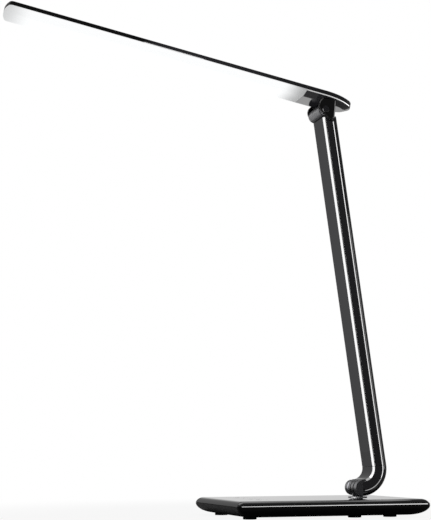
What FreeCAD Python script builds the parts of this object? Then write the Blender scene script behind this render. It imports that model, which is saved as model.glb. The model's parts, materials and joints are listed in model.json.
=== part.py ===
"""Folding LED desk lamp: a weighted base, a turning neck, a folding arm and a tilting light head.

Frame, in millimetres: the origin is the middle of the base on the table, +Z is up, the head reaches
out towards -Y and +X is across the lamp. The pose is the one with the arm raised and the head open.
"""
import FreeCAD, Part
import math
import os
import re
import Sketcher
from FreeCAD import Placement, Rotation, Vector

# Driving dimensions: name, value in millimetres or degrees, meaning
SIZES = (
    # Base
    ("base_length", 184.0, "base front to back at its widest line"),
    ("base_width", 140.0, "base side to side at its widest line"),
    ("base_corner", 3.5, "plan corner radius of the base"),
    ("base_height", 16.4, "table to the top face"),
    ("ridge_height", 11.5, "table to the widest line, where the two covers part"),
    ("undercut", 16.0, "how far the flat underside stands in from the widest line"),
    ("shoulder", 6.0, "how far the flat top stands in from the widest line"),
    ("base_wall", 2.2, "wall of both base covers"),
    ("foot_height", 2.0, "rubber feet below the underside"),
    ("foot_radius", 6.1, "rubber feet"),
    ("foot_side_inset", 26.0, "feet in from the base's sides"),
    ("foot_front_inset", 19.0, "front feet in from the base's front"),
    ("foot_middle_inset", 64.6, "middle feet in from the base's rear"),
    ("foot_rear_inset", 29.6, "rear feet in from the base's rear"),
    ("ballast_side_inset", 28.0, "steel weight in from the base's sides"),
    ("ballast_front_inset", 25.0, "steel weight in from the base's front"),
    ("ballast_rear_inset", 59.0, "steel weight in from the base's rear"),
    ("ballast_thickness", 5.0, "steel weight"),
    ("ballast_corner", 8.0, "weight's plan corners"),
    ("screw_side_inset", 23.0, "base screws in from the base's sides"),
    ("screw_end_inset", 45.0, "base screws in from the base's front and rear"),
    ("boss_radius", 3.0, "screw bosses of the top cover"),
    ("screw_radius", 1.25, "shank of the self-cutting screws"),
    ("screw_head_radius", 2.4, "head of the self-cutting screws"),
    ("screw_head_height", 1.3, "head of the self-cutting screws"),
    ("screw_length", 7.0, "shank of the base screws"),
    ("screw_clearance", 0.05, "around a screw's shank and head"),
    ("panel_side_inset", 24.0, "touch strip in from the base's sides"),
    ("panel_depth", 15.0, "touch strip front to back"),
    ("panel_thickness", 0.8, "touch strip"),
    ("panel_setback", 31.0, "touch strip's middle in from the base's front"),
    ("panel_clearance", 0.1, "around the touch strip in its recess"),
    ("board_side_inset", 35.0, "control board in from the base's sides"),
    ("board_depth", 22.0, "control board front to back"),
    ("board_thickness", 1.6, "control board"),
    ("board_drop", 1.4, "control board below the top cover's ceiling"),
    ("board_post_radius", 2.0, "posts that carry the control board"),
    ("board_post_inset", 4.0, "posts in from the board's ends"),
    ("jack_width", 9.0, "power inlet body side to side"),
    ("jack_depth", 10.0, "power inlet body front to back"),
    ("jack_height", 7.0, "power inlet body"),
    ("jack_inset", 19.0, "power inlet body in from the base's rear"),
    ("jack_axis_height", 8.2, "table to the inlet's middle"),
    ("jack_nose_radius", 2.9, "round mouth of the inlet"),
    ("jack_nose_inset", 4.4, "mouth in from the base's rear"),
    ("jack_bore_radius", 1.8, "bore that takes the lead's connector"),
    ("jack_bore_depth", 9.0, "bore that takes the lead's connector"),
    ("jack_pin_radius", 0.65, "middle contact of the inlet"),
    ("jack_clearance", 0.2, "around the mouth in the rear wall"),
    # Turning neck and lower hinge
    ("swivel_setback", 42.6, "turning axis in from the base's rear"),
    ("pivot_height", 25.4, "table to the lower hinge's axis"),
    ("barrel_radius", 7.3, "lower hinge's ribbed barrel"),
    ("knuckle_half", 6.6, "half the width of the barrel's middle part"),
    ("rib_groove", 0.7, "depth and half width of the barrel's grooves"),
    ("neck_radius", 5.0, "neck under the barrel"),
    ("bush_radius", 7.0, "bearing bush in the top cover"),
    ("bush_flange_radius", 9.0, "flange of the bush on the base's top"),
    ("bush_flange", 0.7, "thickness of that flange"),
    ("bush_length", 5.2, "bush below the base's top"),
    ("bush_boss_radius", 10.0, "top cover's boss around the bush"),
    ("running_clearance", 0.05, "around turning shafts"),
    ("wave_washer", 0.9, "spring washer under the bush"),
    ("wave_washer_radius", 8.4, "spring washer under the bush"),
    ("nut_height", 3.0, "lock nut of the neck"),
    ("nut_flats", 15.0, "lock nut across its flats"),
    ("neck_tail", 0.6, "neck's end below the nut"),
    ("pin_radius", 2.5, "lower hinge's steel pin"),
    ("pin_end_gap", 0.6, "pin's ends inside the arm's cheeks"),
    ("washer_thickness", 0.4, "friction washers of both hinges"),
    ("washer_step", 0.9, "friction washers smaller than their barrel"),
    # Arm
    ("arm_lean", 7.45, "degrees that the arm leans to the front"),
    ("arm_width", 28.0, "arm side to side"),
    ("arm_depth", 15.3, "arm front to back"),
    ("arm_wall", 2.0, "wall of the arm's shells and the elbow"),
    ("arm_back_round", 4.5, "rounding of the arm's back edges"),
    ("arm_front_round", 2.2, "rounding of the arm's front edges"),
    ("arm_cover_thickness", 2.4, "arm's front cover"),
    ("bend_radius", 18.29, "elbow's middle line"),
    ("arm_length", 366.7, "lower hinge to upper hinge along the arm"),
    ("arm_top_gap", 0.6, "arm's end below the upper barrel"),
    ("barrel_clearance", 0.35, "between the barrel and the elbow's seat"),
    ("neck_slot", 0.7, "elbow's slot beside the neck"),
    ("neck_slot_reach", 11.0, "elbow's slot from the hinge axis"),
    ("tongue_reach", 10.0, "hinge collar's tongue into the elbow"),
    ("tongue_below", 2.5, "hinge collar's tongue below the axis"),
    ("tongue_above", 5.0, "hinge collar's tongue above the axis"),
    ("spine_width", 16.0, "steel strip inside the arm"),
    ("spine_thickness", 2.5, "steel strip inside the arm"),
    ("spine_end_gap", 20.0, "strip's ends in from the arm's ends"),
    ("cable_radius", 1.6, "wire inside the arm"),
    # Upper hinge and bracket
    ("head_axis_setback", 2.6, "upper hinge behind the arm's front face"),
    ("upper_barrel_radius", 6.3, "upper hinge's barrel"),
    ("upper_tongue", 15.0, "upper barrel's tongue into the arm"),
    ("upper_tongue_clearance", 0.1, "around the tongue in the arm"),
    ("upper_pin_radius", 2.0, "upper hinge's steel pin"),
    ("cheek_thickness", 4.0, "bracket's cheeks"),
    ("cheek_front", 7.6, "cheek's round front about the upper axis"),
    ("cheek_drop", 13.0, "cheek's rear corner below the upper axis"),
    ("cheek_rear", 11.5, "cheek's lower rear corner behind the upper axis"),
    ("cheek_rear_top", 9.0, "cheek's upper rear corner behind the upper axis"),
    ("cheek_round", 1.5, "rounding of the cheeks' outer edges"),
    ("web_gap", 0.4, "bracket's web above the barrel"),
    ("cap_radius", 3.6, "pin caps in the cheeks"),
    ("cap_thickness", 1.2, "pin caps in the cheeks"),
    # Head
    ("head_lean", 11.07, "degrees that the head rises to the front"),
    ("head_length", 351.4, "head front to back"),
    ("head_width", 41.5, "head side to side"),
    ("head_rise", 17.6, "upper hinge's axis to the head's top face"),
    ("head_rear", 29.85, "head's rear tip behind the upper axis"),
    ("head_thickness", 8.7, "head's top face to its underside"),
    ("head_band", 3.9, "height of the top cover's side band"),
    ("head_wall", 1.6, "walls of the head's covers"),
    ("head_round", 1.0, "rounding of the top cover's upper edge"),
    ("tail_length", 33.0, "rounded rear end of the head"),
    ("tail_tip_radius", 14.0, "tip of the rounded rear end"),
    ("head_front_corner", 4.0, "plan corners of the head's front end"),
    ("head_front_bow", 60.0, "radius of the head's bowed front end"),
    ("rear_cover_length", 53.0, "rear cover from the head's rear tip"),
    ("cover_joint", 0.2, "between the rear cover and the diffuser"),
    ("diffuser_wall", 1.5, "wall of the diffuser"),
    ("diffuser_round", 3.6, "rounding of the diffuser's lower edges"),
    ("led_board_width", 30.0, "light board side to side"),
    ("led_board_thickness", 1.0, "light board"),
    ("led_margin", 14.0, "light board in from the diffuser's ends"),
    ("led_size", 2.8, "each light chip's side"),
    ("led_height", 0.6, "each light chip"),
    ("led_pitch", 14.0, "between light chips along the board"),
    ("led_row_offset", 8.0, "rows of light chips from the middle line"),
    ("reflector_wall", 0.8, "white frame around the light chips"),
    ("reflector_depth", 2.6, "white frame below the light board"),
    ("bracket_screw_side", 9.0, "bracket screws from the middle line"),
    ("bracket_screw_length", 6.5, "shank of the bracket screws"),
    ("overrun", 1.0, "how far a cut runs past its piece"),
)
HULL_STEP_SHARES = (0, 1 / 3, 2 / 3, 1)
QUARTER_TURN = 90
HEX_SIDES = 6
SMALL = 1e-6

# Lengths worked out from the driving dimensions
FRONT_FEET = "-(base_length / 2 - foot_front_inset)"
MIDDLE_FEET = "(base_length / 2 - foot_middle_inset)"
REAR_FEET = "(base_length / 2 - foot_rear_inset)"
BALLAST_MIDDLE = "((ballast_front_inset - ballast_rear_inset) / 2)"
PANEL_HALF = "(base_width / 2 - panel_side_inset)"
PANEL_MIDDLE = "(panel_setback - base_length / 2)"
BOARD_HALF = "(base_width / 2 - board_side_inset)"
SWIVEL_BACK = "(base_length / 2 - swivel_setback)"
BASE_CEILING = "(base_height - base_wall)"
BASE_FLOOR = "(foot_height + base_wall)"
BUSH_END = "(base_height - bush_length)"
NECK_END = "(base_height - bush_length - wave_washer - nut_height - neck_tail)"
ARM_HALF = "(arm_width / 2)"
ARM_INSIDE = "(arm_width / 2 - arm_wall)"
BEND_SIDE = "(bend_radius * sin(arm_lean))"
BEND_RISE = "(bend_radius * cos(arm_lean))"
ARM_FRONT = "(bend_radius * sin(arm_lean) + bend_radius - arm_depth / 2)"
ARM_BACK = "(bend_radius * sin(arm_lean) + bend_radius + arm_depth / 2)"
ARM_TOP = "(arm_length - upper_barrel_radius - arm_top_gap)"
HEAD_AXIS_SIDE = "(" + ARM_FRONT + " + head_axis_setback)"
CHEEK_INSIDE = "(arm_width / 2 + washer_thickness)"
CHEEK_OUTSIDE = "(arm_width / 2 + washer_thickness + cheek_thickness)"
HEAD_UNDER = "(head_rise - head_thickness)"
BAND_UNDER = "(head_rise - head_band)"
HEAD_CEILING = "(head_rise - head_wall)"
HEAD_FRONT = "(head_rear - head_length)"
WEB_UNDER = "(upper_barrel_radius + web_gap)"
COVER_FRONT = "(head_rear - rear_cover_length)"
LED_REAR = "(head_rear - rear_cover_length - cover_joint - led_margin)"
LED_FRONT = "(head_rear - head_length + led_margin)"

# Where each group stands: side, depth and height of its own origin, and its turn about X
FRAMES = {
    "base": ("0", "0", "0"),
    "swivel": (SWIVEL_BACK, "0", "0"),
    "pivot": (SWIVEL_BACK, "pivot_height", "0"),
    "arm": (SWIVEL_BACK, "pivot_height", "arm_lean"),
    "elbow": (SWIVEL_BACK, "pivot_height + bend_radius", "arm_lean"),
    "head": (SWIVEL_BACK + " + " + HEAD_AXIS_SIDE + " * cos(arm_lean) - arm_length * sin(arm_lean)",
             "pivot_height + " + HEAD_AXIS_SIDE + " * sin(arm_lean) + arm_length * cos(arm_lean)",
             "-head_lean"),
}

doc = FreeCAD.newDocument("DeskLamp")
sheet = doc.addObject("Spreadsheet::Sheet", "Sizes")
for row, (name, value, meaning) in enumerate(SIZES, start=1):
    sheet.set(f"A{row}", name)
    sheet.set(f"B{row}", str(value))
    sheet.setAlias(f"B{row}", name)
    sheet.set(f"C{row}", meaning)
doc.recompute()
NAMES = {name for name, _, _ in SIZES}
NODES = []


# Expressions and places

def linked(expression):
    """The expression with every size name pointed at its cell of the sheet."""
    return re.sub(r"[a-z_]+", lambda word: "Sizes." + word.group(0) if word.group(0) in NAMES
                  else word.group(0), str(expression))


def amount(expression):
    """The expression's present value."""
    result = sheet.evalExpression(linked(expression))
    return float(getattr(result, "Value", result))


def bind(thing, path, expression):
    thing.setExpression(path, linked(expression))


def keep(thing, label, frame):
    """Names a finished sub-part and stands it in its group's frame."""
    depth, height, turn = FRAMES[frame]
    thing.Label = label
    thing.Placement = Placement(Vector(0, amount(depth), amount(height)),
                                Rotation(Vector(1, 0, 0), amount(turn)))
    bind(thing, ".Placement.Base.y", depth)
    bind(thing, ".Placement.Base.z", height)
    if turn != "0":
        bind(thing, ".Placement.Rotation.Angle", turn)
    NODES.append(thing)
    return thing


# Sketches

def new_body(name):
    return doc.addObject("PartDesign::Body", name + "_body")


def plane_of(body, role):
    return next(item for item in body.Origin.OriginFeatures if item.Role == role)


def new_sketch(body, role, level="0"):
    """A sketch on one of the body's own planes, moved along its normal by a bound level."""
    sketch = body.newObject("Sketcher::SketchObject", "profile")
    sketch.AttachmentSupport = [(plane_of(body, role), "")]
    sketch.MapMode = "FlatFace"
    bind(sketch, ".AttachmentOffset.Base.z", level)
    return sketch


def hold(sketch, kind, geometry, point, expression):
    """A bound distance of a point from the sketch's origin."""
    index = sketch.addConstraint(Sketcher.Constraint(kind, -1, 1, geometry, point, amount(expression)))
    bind(sketch, f"Constraints[{index}]", expression)


def hold_radius(sketch, geometry, expression):
    index = sketch.addConstraint(Sketcher.Constraint("Radius", geometry, amount(expression)))
    bind(sketch, f"Constraints[{index}]", expression)


def arc_between(start, end, radius, left):
    """The arc from start to end that turns left or right, never over a half circle."""
    middle = (start + end) / 2
    chord = end - start
    rise = math.sqrt(max(radius ** 2 - (chord.Length / 2) ** 2, 0))
    side = Vector(-chord.y, chord.x, 0).normalize()
    centre = middle + side * (rise if left else -rise)
    first, last = (start, end) if left else (end, start)
    angles = [math.atan2(point.y - centre.y, point.x - centre.x) for point in (first, last)]
    return Part.ArcOfCircle(Part.Circle(centre, Vector(0, 0, 1), radius), *angles)


def outline(sketch, steps):
    """A closed outline through bound points: (x, y) ends a line, (x, y, radius, turn) ends an arc."""
    points = [Vector(amount(step[0]), amount(step[1]), 0) for step in steps]
    ends = []
    for index, step in enumerate(steps):
        start = points[index - 1]
        end = points[index]
        if len(step) == 2:
            geometry = sketch.addGeometry(Part.LineSegment(start, end), False)
            ends.append((geometry, 1, 2))
        else:
            left = step[3] == "left"
            arc = arc_between(start, end, amount(step[2]), left)
            geometry = sketch.addGeometry(arc, False)
            ends.append((geometry, 1, 2) if left else (geometry, 2, 1))
    for index, (geometry, first, last) in enumerate(ends):
        following = ends[(index + 1) % len(ends)]
        sketch.addConstraint(Sketcher.Constraint("Coincident", geometry, last, following[0], following[1]))
    for index, step in enumerate(steps):
        geometry, first, last = ends[index]
        hold(sketch, "DistanceX", geometry, last, step[0])
        hold(sketch, "DistanceY", geometry, last, step[1])
        if len(step) > 2:
            hold_radius(sketch, geometry, step[2])
    return sketch


def box_outline(sketch, left, right, low, high):
    return outline(sketch, ((right, low), (right, high), (left, high), (left, low)))


def rounded_outline(sketch, half_width, half_depth, radius, middle="0"):
    """A rounded rectangle about the middle, which may stand off along the sketch's second axis."""
    wide = f"({half_width})"
    far = f"({middle} + {half_depth})"
    near = f"({middle} - ({half_depth}))"
    return outline(sketch, (
        (f"{wide} - {radius}", near), (wide, f"{near} + {radius}", radius, "left"),
        (wide, f"{far} - {radius}"), (f"{wide} - {radius}", far, radius, "left"),
        (f"-{wide} + {radius}", far), (f"-{wide}", f"{far} - {radius}", radius, "left"),
        (f"-{wide}", f"{near} + {radius}"), (f"-{wide} + {radius}", near, radius, "left")))


def circle(sketch, x, y, radius):
    centre = Vector(amount(x), amount(y), 0)
    geometry = sketch.addGeometry(Part.Circle(centre, Vector(0, 0, 1), amount(radius)), False)
    hold(sketch, "DistanceX", geometry, 3, x)
    hold(sketch, "DistanceY", geometry, 3, y)
    hold_radius(sketch, geometry, radius)
    return sketch


# Features

def pad(body, sketch, length, both_ways=False, backwards=False):
    feature = body.newObject("PartDesign::Pad", "pad")
    feature.Profile = sketch
    feature.Reversed = backwards
    feature.Midplane = both_ways
    bind(feature, "Length", length)
    return feature


def pocket(body, sketch, length, both_ways=False, backwards=False):
    feature = body.newObject("PartDesign::Pocket", "pocket")
    feature.Profile = sketch
    feature.Reversed = backwards
    feature.Midplane = both_ways
    bind(feature, "Length", length)
    return feature


def turned(body, sketch, kind, angle="360", backwards=False):
    """Revolves the sketch about its own first axis, adding or cutting."""
    feature = body.newObject("PartDesign::" + kind, kind.lower())
    feature.Profile = sketch
    feature.ReferenceAxis = (sketch, ["H_Axis"])
    feature.Reversed = backwards
    bind(feature, "Angle", angle)
    return feature


def loft(body, sketches, kind):
    feature = body.newObject("PartDesign::" + kind, kind.lower())
    feature.Profile = sketches[0]
    feature.Sections = sketches[1:]
    return feature


def rounded(body, feature, wanted, radius):
    """Fillets the feature's edges that the test wants."""
    doc.recompute()
    names = [f"Edge{index}" for index, edge in enumerate(feature.Shape.Edges, start=1) if wanted(edge)]
    if not names:
        raise ValueError(f"no edge to round on {body.Name}")
    fillet = body.newObject("PartDesign::Fillet", "fillet")
    fillet.Base = (feature, names)
    bind(fillet, "Radius", radius)
    return fillet


def runs_along(edge, axis):
    """True for a straight edge parallel to the axis."""
    if edge.Curve.TypeId != "Part::GeomLine":
        return False
    return edge.Curve.Direction.cross(axis).Length < SMALL


# Plain solids, for groups of small pieces

def cylinder(x, y, z, radius, height, axis="Z"):
    """A cylinder from its bound foot along an axis."""
    piece = doc.addObject("Part::Cylinder", "cylinder")
    if axis == "X":
        piece.Placement.Rotation = Rotation(Vector(0, 1, 0), QUARTER_TURN)
    bind(piece, "Radius", radius)
    bind(piece, "Height", height)
    for letter, place in zip("xyz", (x, y, z)):
        bind(piece, ".Placement.Base." + letter, place)
    return piece


def block(x, y, z, length, width, height):
    """A box from its bound lowest corner."""
    piece = doc.addObject("Part::Box", "block")
    for size, expression in zip(("Length", "Width", "Height"), (length, width, height)):
        bind(piece, size, expression)
    for letter, place in zip("xyz", (x, y, z)):
        bind(piece, ".Placement.Base." + letter, place)
    return piece


def fused(*pieces):
    joined = doc.addObject("Part::MultiFuse", "fused")
    joined.Shapes = list(pieces)
    return joined


def cut(base, tool):
    result = doc.addObject("Part::Cut", "cut")
    result.Base = base
    result.Tool = tool
    return result


def group(pieces, label, frame):
    """Several separate solids that make one sub-part."""
    compound = doc.addObject("Part::Compound", label + "_group")
    compound.Links = list(pieces)
    return keep(compound, label, frame)


# Base

def hull_section(body, inset, level, corner="base_corner"):
    sketch = new_sketch(body, "XY_Plane", level)
    return rounded_outline(sketch, f"base_width / 2 - {inset}", f"base_length / 2 - {inset}", corner)


def lower_sections(body, wall, corner):
    """Sections of the boat-shaped underside, a quarter ellipse up to the widest line."""
    sections = []
    for share in HULL_STEP_SHARES:
        turn = share * QUARTER_TURN
        inset = f"(undercut * (1 - sin({turn})) + {wall})"
        level = f"ridge_height - (ridge_height - foot_height - {wall}) * cos({turn})"
        sections.append(hull_section(body, inset, level, corner))
    return sections


def upper_sections(body, wall, corner):
    """Sections of the rounded shoulder, a quarter ellipse from the widest line to the top face."""
    sections = []
    for share in HULL_STEP_SHARES:
        turn = share * QUARTER_TURN
        inset = f"(shoulder * (1 - cos({turn})) + {wall})"
        level = f"ridge_height + (base_height - ridge_height - {wall}) * sin({turn})"
        sections.append(hull_section(body, inset, level, corner))
    return sections


def base_screw_places():
    return [(f"{side} * (base_width / 2 - screw_side_inset)",
             f"{end} * (base_length / 2 - screw_end_inset)")
            for side in (1, -1) for end in (1, -1)]


def make_bottom_cover():
    body = new_body("base_bottom_cover")
    loft(body, lower_sections(body, "0", "base_corner"), "AdditiveLoft")
    loft(body, lower_sections(body, "base_wall", "(base_corner - base_wall)"), "SubtractiveLoft")
    for x, y in base_screw_places():
        hole = circle(new_sketch(body, "XY_Plane", BASE_FLOOR), x, y, "screw_radius + screw_clearance")
        pocket(body, hole, "base_wall + overrun")
        head = circle(new_sketch(body, "XY_Plane", "foot_height + screw_head_height"),
                      x, y, "screw_head_radius + screw_clearance")
        pocket(body, head, "screw_head_height + overrun")
    mouth = circle(new_sketch(body, "XZ_Plane", "-base_length / 2 - overrun"),
                   "0", "jack_axis_height", "jack_nose_radius + jack_clearance")
    pocket(body, mouth, "jack_inset + overrun", backwards=True)
    return keep(body, "base_bottom_cover", "base")


def make_top_cover():
    body = new_body("base_top_cover")
    loft(body, upper_sections(body, "0", "base_corner"), "AdditiveLoft")
    loft(body, upper_sections(body, "base_wall", "(base_corner - base_wall)"), "SubtractiveLoft")
    boss = circle(new_sketch(body, "XY_Plane", BUSH_END), "0", SWIVEL_BACK, "bush_boss_radius")
    pad(body, boss, f"{BASE_CEILING} - {BUSH_END} + base_wall / 2")
    for x, y in base_screw_places():
        post = circle(new_sketch(body, "XY_Plane", BASE_FLOOR), x, y, "boss_radius")
        pad(body, post, f"{BASE_CEILING} - {BASE_FLOOR} + base_wall / 2")
        hole = circle(new_sketch(body, "XY_Plane", BASE_FLOOR), x, y, "screw_radius + screw_clearance")
        pocket(body, hole, "screw_length", backwards=True)
    for side in (1, -1):
        place = f"{side} * ({BOARD_HALF} - board_post_inset)"
        post = circle(new_sketch(body, "XY_Plane", f"{BASE_CEILING} - board_drop"),
                      place, f"{PANEL_MIDDLE} + board_depth / 2", "board_post_radius")
        pad(body, post, "board_drop + base_wall / 2")
    bore = circle(new_sketch(body, "XY_Plane", "base_height + overrun"), "0", SWIVEL_BACK,
                  "bush_radius")
    pocket(body, bore, "bush_length + 2 * overrun")
    recess = rounded_outline(new_sketch(body, "XY_Plane", "base_height"), PANEL_HALF,
                             "panel_depth / 2", "panel_depth / 4", PANEL_MIDDLE)
    pocket(body, recess, "panel_thickness")
    return keep(body, "base_top_cover", "base")


def make_ballast():
    body = new_body("ballast_plate")
    sketch = new_sketch(body, "XY_Plane", BASE_FLOOR)
    rounded_outline(sketch, "base_width / 2 - ballast_side_inset",
                    "(base_length - ballast_front_inset - ballast_rear_inset) / 2",
                    "ballast_corner", BALLAST_MIDDLE)
    pad(body, sketch, "ballast_thickness")
    return keep(body, "ballast_plate", "base")


def make_feet():
    feet = [cylinder(f"{side} * (base_width / 2 - foot_side_inset)", depth, "0", "foot_radius",
                     "foot_height")
            for depth in (FRONT_FEET, MIDDLE_FEET, REAR_FEET) for side in (1, -1)]
    return group(feet, "rubber_feet", "base")


def screw(x, y, z, length):
    """A screw with its head down, from the head's outer face."""
    head = cylinder(x, y, z, "screw_head_radius", "screw_head_height")
    shank = cylinder(x, y, z, "screw_radius", f"screw_head_height + {length}")
    return fused(head, shank)


def make_base_screws():
    shank = "base_wall - screw_head_height + screw_length - screw_clearance"
    screws = [screw(x, y, "foot_height", f"({shank})") for x, y in base_screw_places()]
    return group(screws, "base_screws", "base")


def make_touch_panel():
    body = new_body("touch_panel")
    sketch = new_sketch(body, "XY_Plane", "base_height - panel_thickness")
    rounded_outline(sketch, f"{PANEL_HALF} - panel_clearance", "panel_depth / 2 - panel_clearance",
                    "panel_depth / 4", PANEL_MIDDLE)
    pad(body, sketch, "panel_thickness")
    return keep(body, "touch_panel", "base")


def make_control_board():
    body = new_body("control_board")
    sketch = new_sketch(body, "XY_Plane", f"{BASE_CEILING} - board_drop - board_thickness")
    box_outline(sketch, f"-{BOARD_HALF}", BOARD_HALF, PANEL_MIDDLE, f"{PANEL_MIDDLE} + board_depth")
    pad(body, sketch, "board_thickness")
    return keep(body, "control_board", "base")


def make_power_inlet():
    body = new_body("power_inlet")
    front = "base_length / 2 - jack_inset - jack_depth"
    shell = new_sketch(body, "XZ_Plane", f"-({front})")
    box_outline(shell, "-jack_width / 2", "jack_width / 2", BASE_FLOOR, f"{BASE_FLOOR} + jack_height")
    pad(body, shell, "jack_depth", backwards=True)
    nose = circle(new_sketch(body, "XZ_Plane", f"-({front})"), "0", "jack_axis_height",
                  "jack_nose_radius")
    pad(body, nose, "jack_depth + jack_inset - jack_nose_inset", backwards=True)
    bore = circle(new_sketch(body, "XZ_Plane", "-(base_length / 2 - jack_nose_inset)"), "0",
                  "jack_axis_height", "jack_bore_radius")
    pocket(body, bore, "jack_bore_depth")
    contact = circle(new_sketch(body, "XZ_Plane", f"-({front})"), "0", "jack_axis_height",
                     "jack_pin_radius")
    pad(body, contact, "jack_depth + jack_inset - jack_nose_inset - overrun", backwards=True)
    return keep(body, "power_inlet", "base")


def make_swivel_bush():
    body = new_body("swivel_bush")
    barrel = circle(new_sketch(body, "XY_Plane", BUSH_END), "0", "0", "bush_radius")
    pad(body, barrel, "bush_length")
    flange = circle(new_sketch(body, "XY_Plane", "base_height"), "0", "0", "bush_flange_radius")
    pad(body, flange, "bush_flange")
    bore = circle(new_sketch(body, "XY_Plane", "base_height + bush_flange"), "0", "0",
                  "neck_radius + running_clearance")
    pocket(body, bore, "bush_length + bush_flange")
    return keep(body, "swivel_bush", "swivel")


# Turning neck and lower hinge

def make_swivel_neck():
    """The neck with the ribbed middle of the lower hinge's barrel."""
    body = new_body("swivel_neck")
    ribs = outline(new_sketch(body, "XY_Plane"), (
        ("-knuckle_half", "pin_radius"), ("knuckle_half", "pin_radius"),
        ("knuckle_half", "barrel_radius - rib_groove"),
        ("knuckle_half - rib_groove", "barrel_radius", "rib_groove", "left"),
        ("rib_groove", "barrel_radius"), ("0", "barrel_radius - rib_groove"),
        ("-rib_groove", "barrel_radius"), ("-knuckle_half + rib_groove", "barrel_radius"),
        ("-knuckle_half", "barrel_radius - rib_groove", "rib_groove", "left")))
    turned(body, ribs, "Revolution")
    shaft = circle(new_sketch(body, "XY_Plane", f"{NECK_END} - pivot_height"), "0", "0", "neck_radius")
    pad(body, shaft, f"pivot_height - {NECK_END} - pin_radius - overrun")
    return keep(body, "swivel_neck", "pivot")


def ring_group(levels, inner, outer, thickness, label, frame):
    """Washers across the lamp, each from its own bound side."""
    rings = []
    for level in levels:
        solid = cylinder(level, "0", "0", outer, thickness, "X")
        bore = cylinder(level, "0", "0", inner, thickness, "X")
        rings.append(cut(solid, bore))
    return group(rings, label, frame)


def make_lower_pin():
    body = new_body("lower_hinge_pin")
    sketch = circle(new_sketch(body, "YZ_Plane"), "0", "0", "pin_radius")
    pad(body, sketch, f"2 * ({ARM_INSIDE} - pin_end_gap)", both_ways=True)
    return keep(body, "lower_hinge_pin", "pivot")


def make_lower_washers():
    return ring_group(("knuckle_half", "-knuckle_half - washer_thickness"),
                      "pin_radius + running_clearance", "barrel_radius - washer_step",
                      "washer_thickness", "lower_friction_washers", "pivot")


def make_wave_washer():
    body = new_body("swivel_spring_washer")
    sketch = new_sketch(body, "XY_Plane", f"{BUSH_END} - wave_washer")
    circle(sketch, "0", "0", "wave_washer_radius")
    circle(sketch, "0", "0", "neck_radius")
    pad(body, sketch, "wave_washer")
    return keep(body, "swivel_spring_washer", "swivel")


def make_swivel_nut():
    body = new_body("swivel_nut")
    sketch = new_sketch(body, "XY_Plane", f"{BUSH_END} - wave_washer - nut_height")
    corners = []
    for side in range(HEX_SIDES):
        turn = side * 360 / HEX_SIDES
        corners.append((f"nut_flats / sqrt(3) * cos({turn})", f"nut_flats / sqrt(3) * sin({turn})"))
    outline(sketch, corners)
    circle(sketch, "0", "0", "neck_radius")
    pad(body, sketch, "nut_height")
    return keep(body, "swivel_nut", "swivel")


# Arm

def make_elbow():
    """The curved foot of the arm, hollow, with a round seat for the hinge's barrel."""
    body = new_body("arm_elbow")
    near = "bend_radius - arm_depth / 2"
    far = "bend_radius + arm_depth / 2"
    bend = f"{QUARTER_TURN} + arm_lean"
    outside = box_outline(new_sketch(body, "XY_Plane"), f"-{ARM_HALF}", ARM_HALF, near, far)
    shape = turned(body, outside, "Revolution", bend, backwards=True)

    def on_radius(radius):
        return lambda edge: (edge.Curve.TypeId == "Part::GeomCircle"
                             and abs(edge.Curve.Radius - amount(radius)) < SMALL)
    shape = rounded(body, shape, on_radius(far), "arm_back_round")
    rounded(body, shape, on_radius(near), "arm_front_round")
    inside = box_outline(new_sketch(body, "XY_Plane"), f"-{ARM_INSIDE}", ARM_INSIDE,
                         f"{near} + arm_wall", f"{far} - arm_wall")
    turned(body, inside, "Groove", bend, backwards=True)
    seat = circle(new_sketch(body, "YZ_Plane"), f"-{BEND_SIDE}", f"-{BEND_RISE}",
                  "barrel_radius + barrel_clearance")
    pocket(body, seat, f"2 * {ARM_INSIDE}", both_ways=True)
    slot = box_outline(new_sketch(body, "YZ_Plane"), f"-{BEND_SIDE} - overrun",
                       f"-{BEND_SIDE} + neck_slot_reach", f"-{BEND_RISE} - neck_slot_reach",
                       f"-{BEND_RISE}")
    pocket(body, slot, "2 * (neck_radius + neck_slot)", both_ways=True)
    return keep(body, "arm_elbow", "elbow")


def make_collar(side, label):
    """An outer part of the ribbed barrel, with a tongue that the elbow holds."""
    body = new_body(label)
    inner = "(knuckle_half + washer_thickness)"
    ring = outline(new_sketch(body, "XY_Plane"), (
        (f"{side} * {inner}", "pin_radius + running_clearance"),
        (f"{side} * {ARM_INSIDE}", "pin_radius + running_clearance"),
        (f"{side} * {ARM_INSIDE}", "barrel_radius"),
        (f"{side} * ({inner} + rib_groove)", "barrel_radius"),
        (f"{side} * {inner}", "barrel_radius - rib_groove")))
    turned(body, ring, "Revolution")
    low, high = sorted((f"{side} * {inner}", f"{side} * {ARM_INSIDE}"), key=amount)
    tongue = box_outline(new_sketch(body, "XY_Plane", "-tongue_below"), low, high,
                         "barrel_radius - washer_step", "tongue_reach")
    pad(body, tongue, "tongue_below + tongue_above")
    return keep(body, label, "pivot")


def make_rear_shell():
    body = new_body("arm_rear_shell")
    split = f"{ARM_FRONT} + arm_cover_thickness"
    channel = outline(new_sketch(body, "XY_Plane", BEND_RISE), (
        (ARM_HALF, split), (ARM_HALF, ARM_BACK), (f"-{ARM_HALF}", ARM_BACK), (f"-{ARM_HALF}", split),
        (f"-{ARM_INSIDE}", split), (f"-{ARM_INSIDE}", f"{ARM_BACK} - arm_wall"),
        (ARM_INSIDE, f"{ARM_BACK} - arm_wall"), (ARM_INSIDE, split)))
    shape = pad(body, channel, f"{ARM_TOP} - {BEND_RISE}")
    back = amount(ARM_BACK)
    rounded(body, shape, lambda edge: runs_along(edge, Vector(0, 0, 1))
            and abs(edge.CenterOfMass.y - back) < SMALL, "arm_back_round")
    return keep(body, "arm_rear_shell", "arm")


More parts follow.
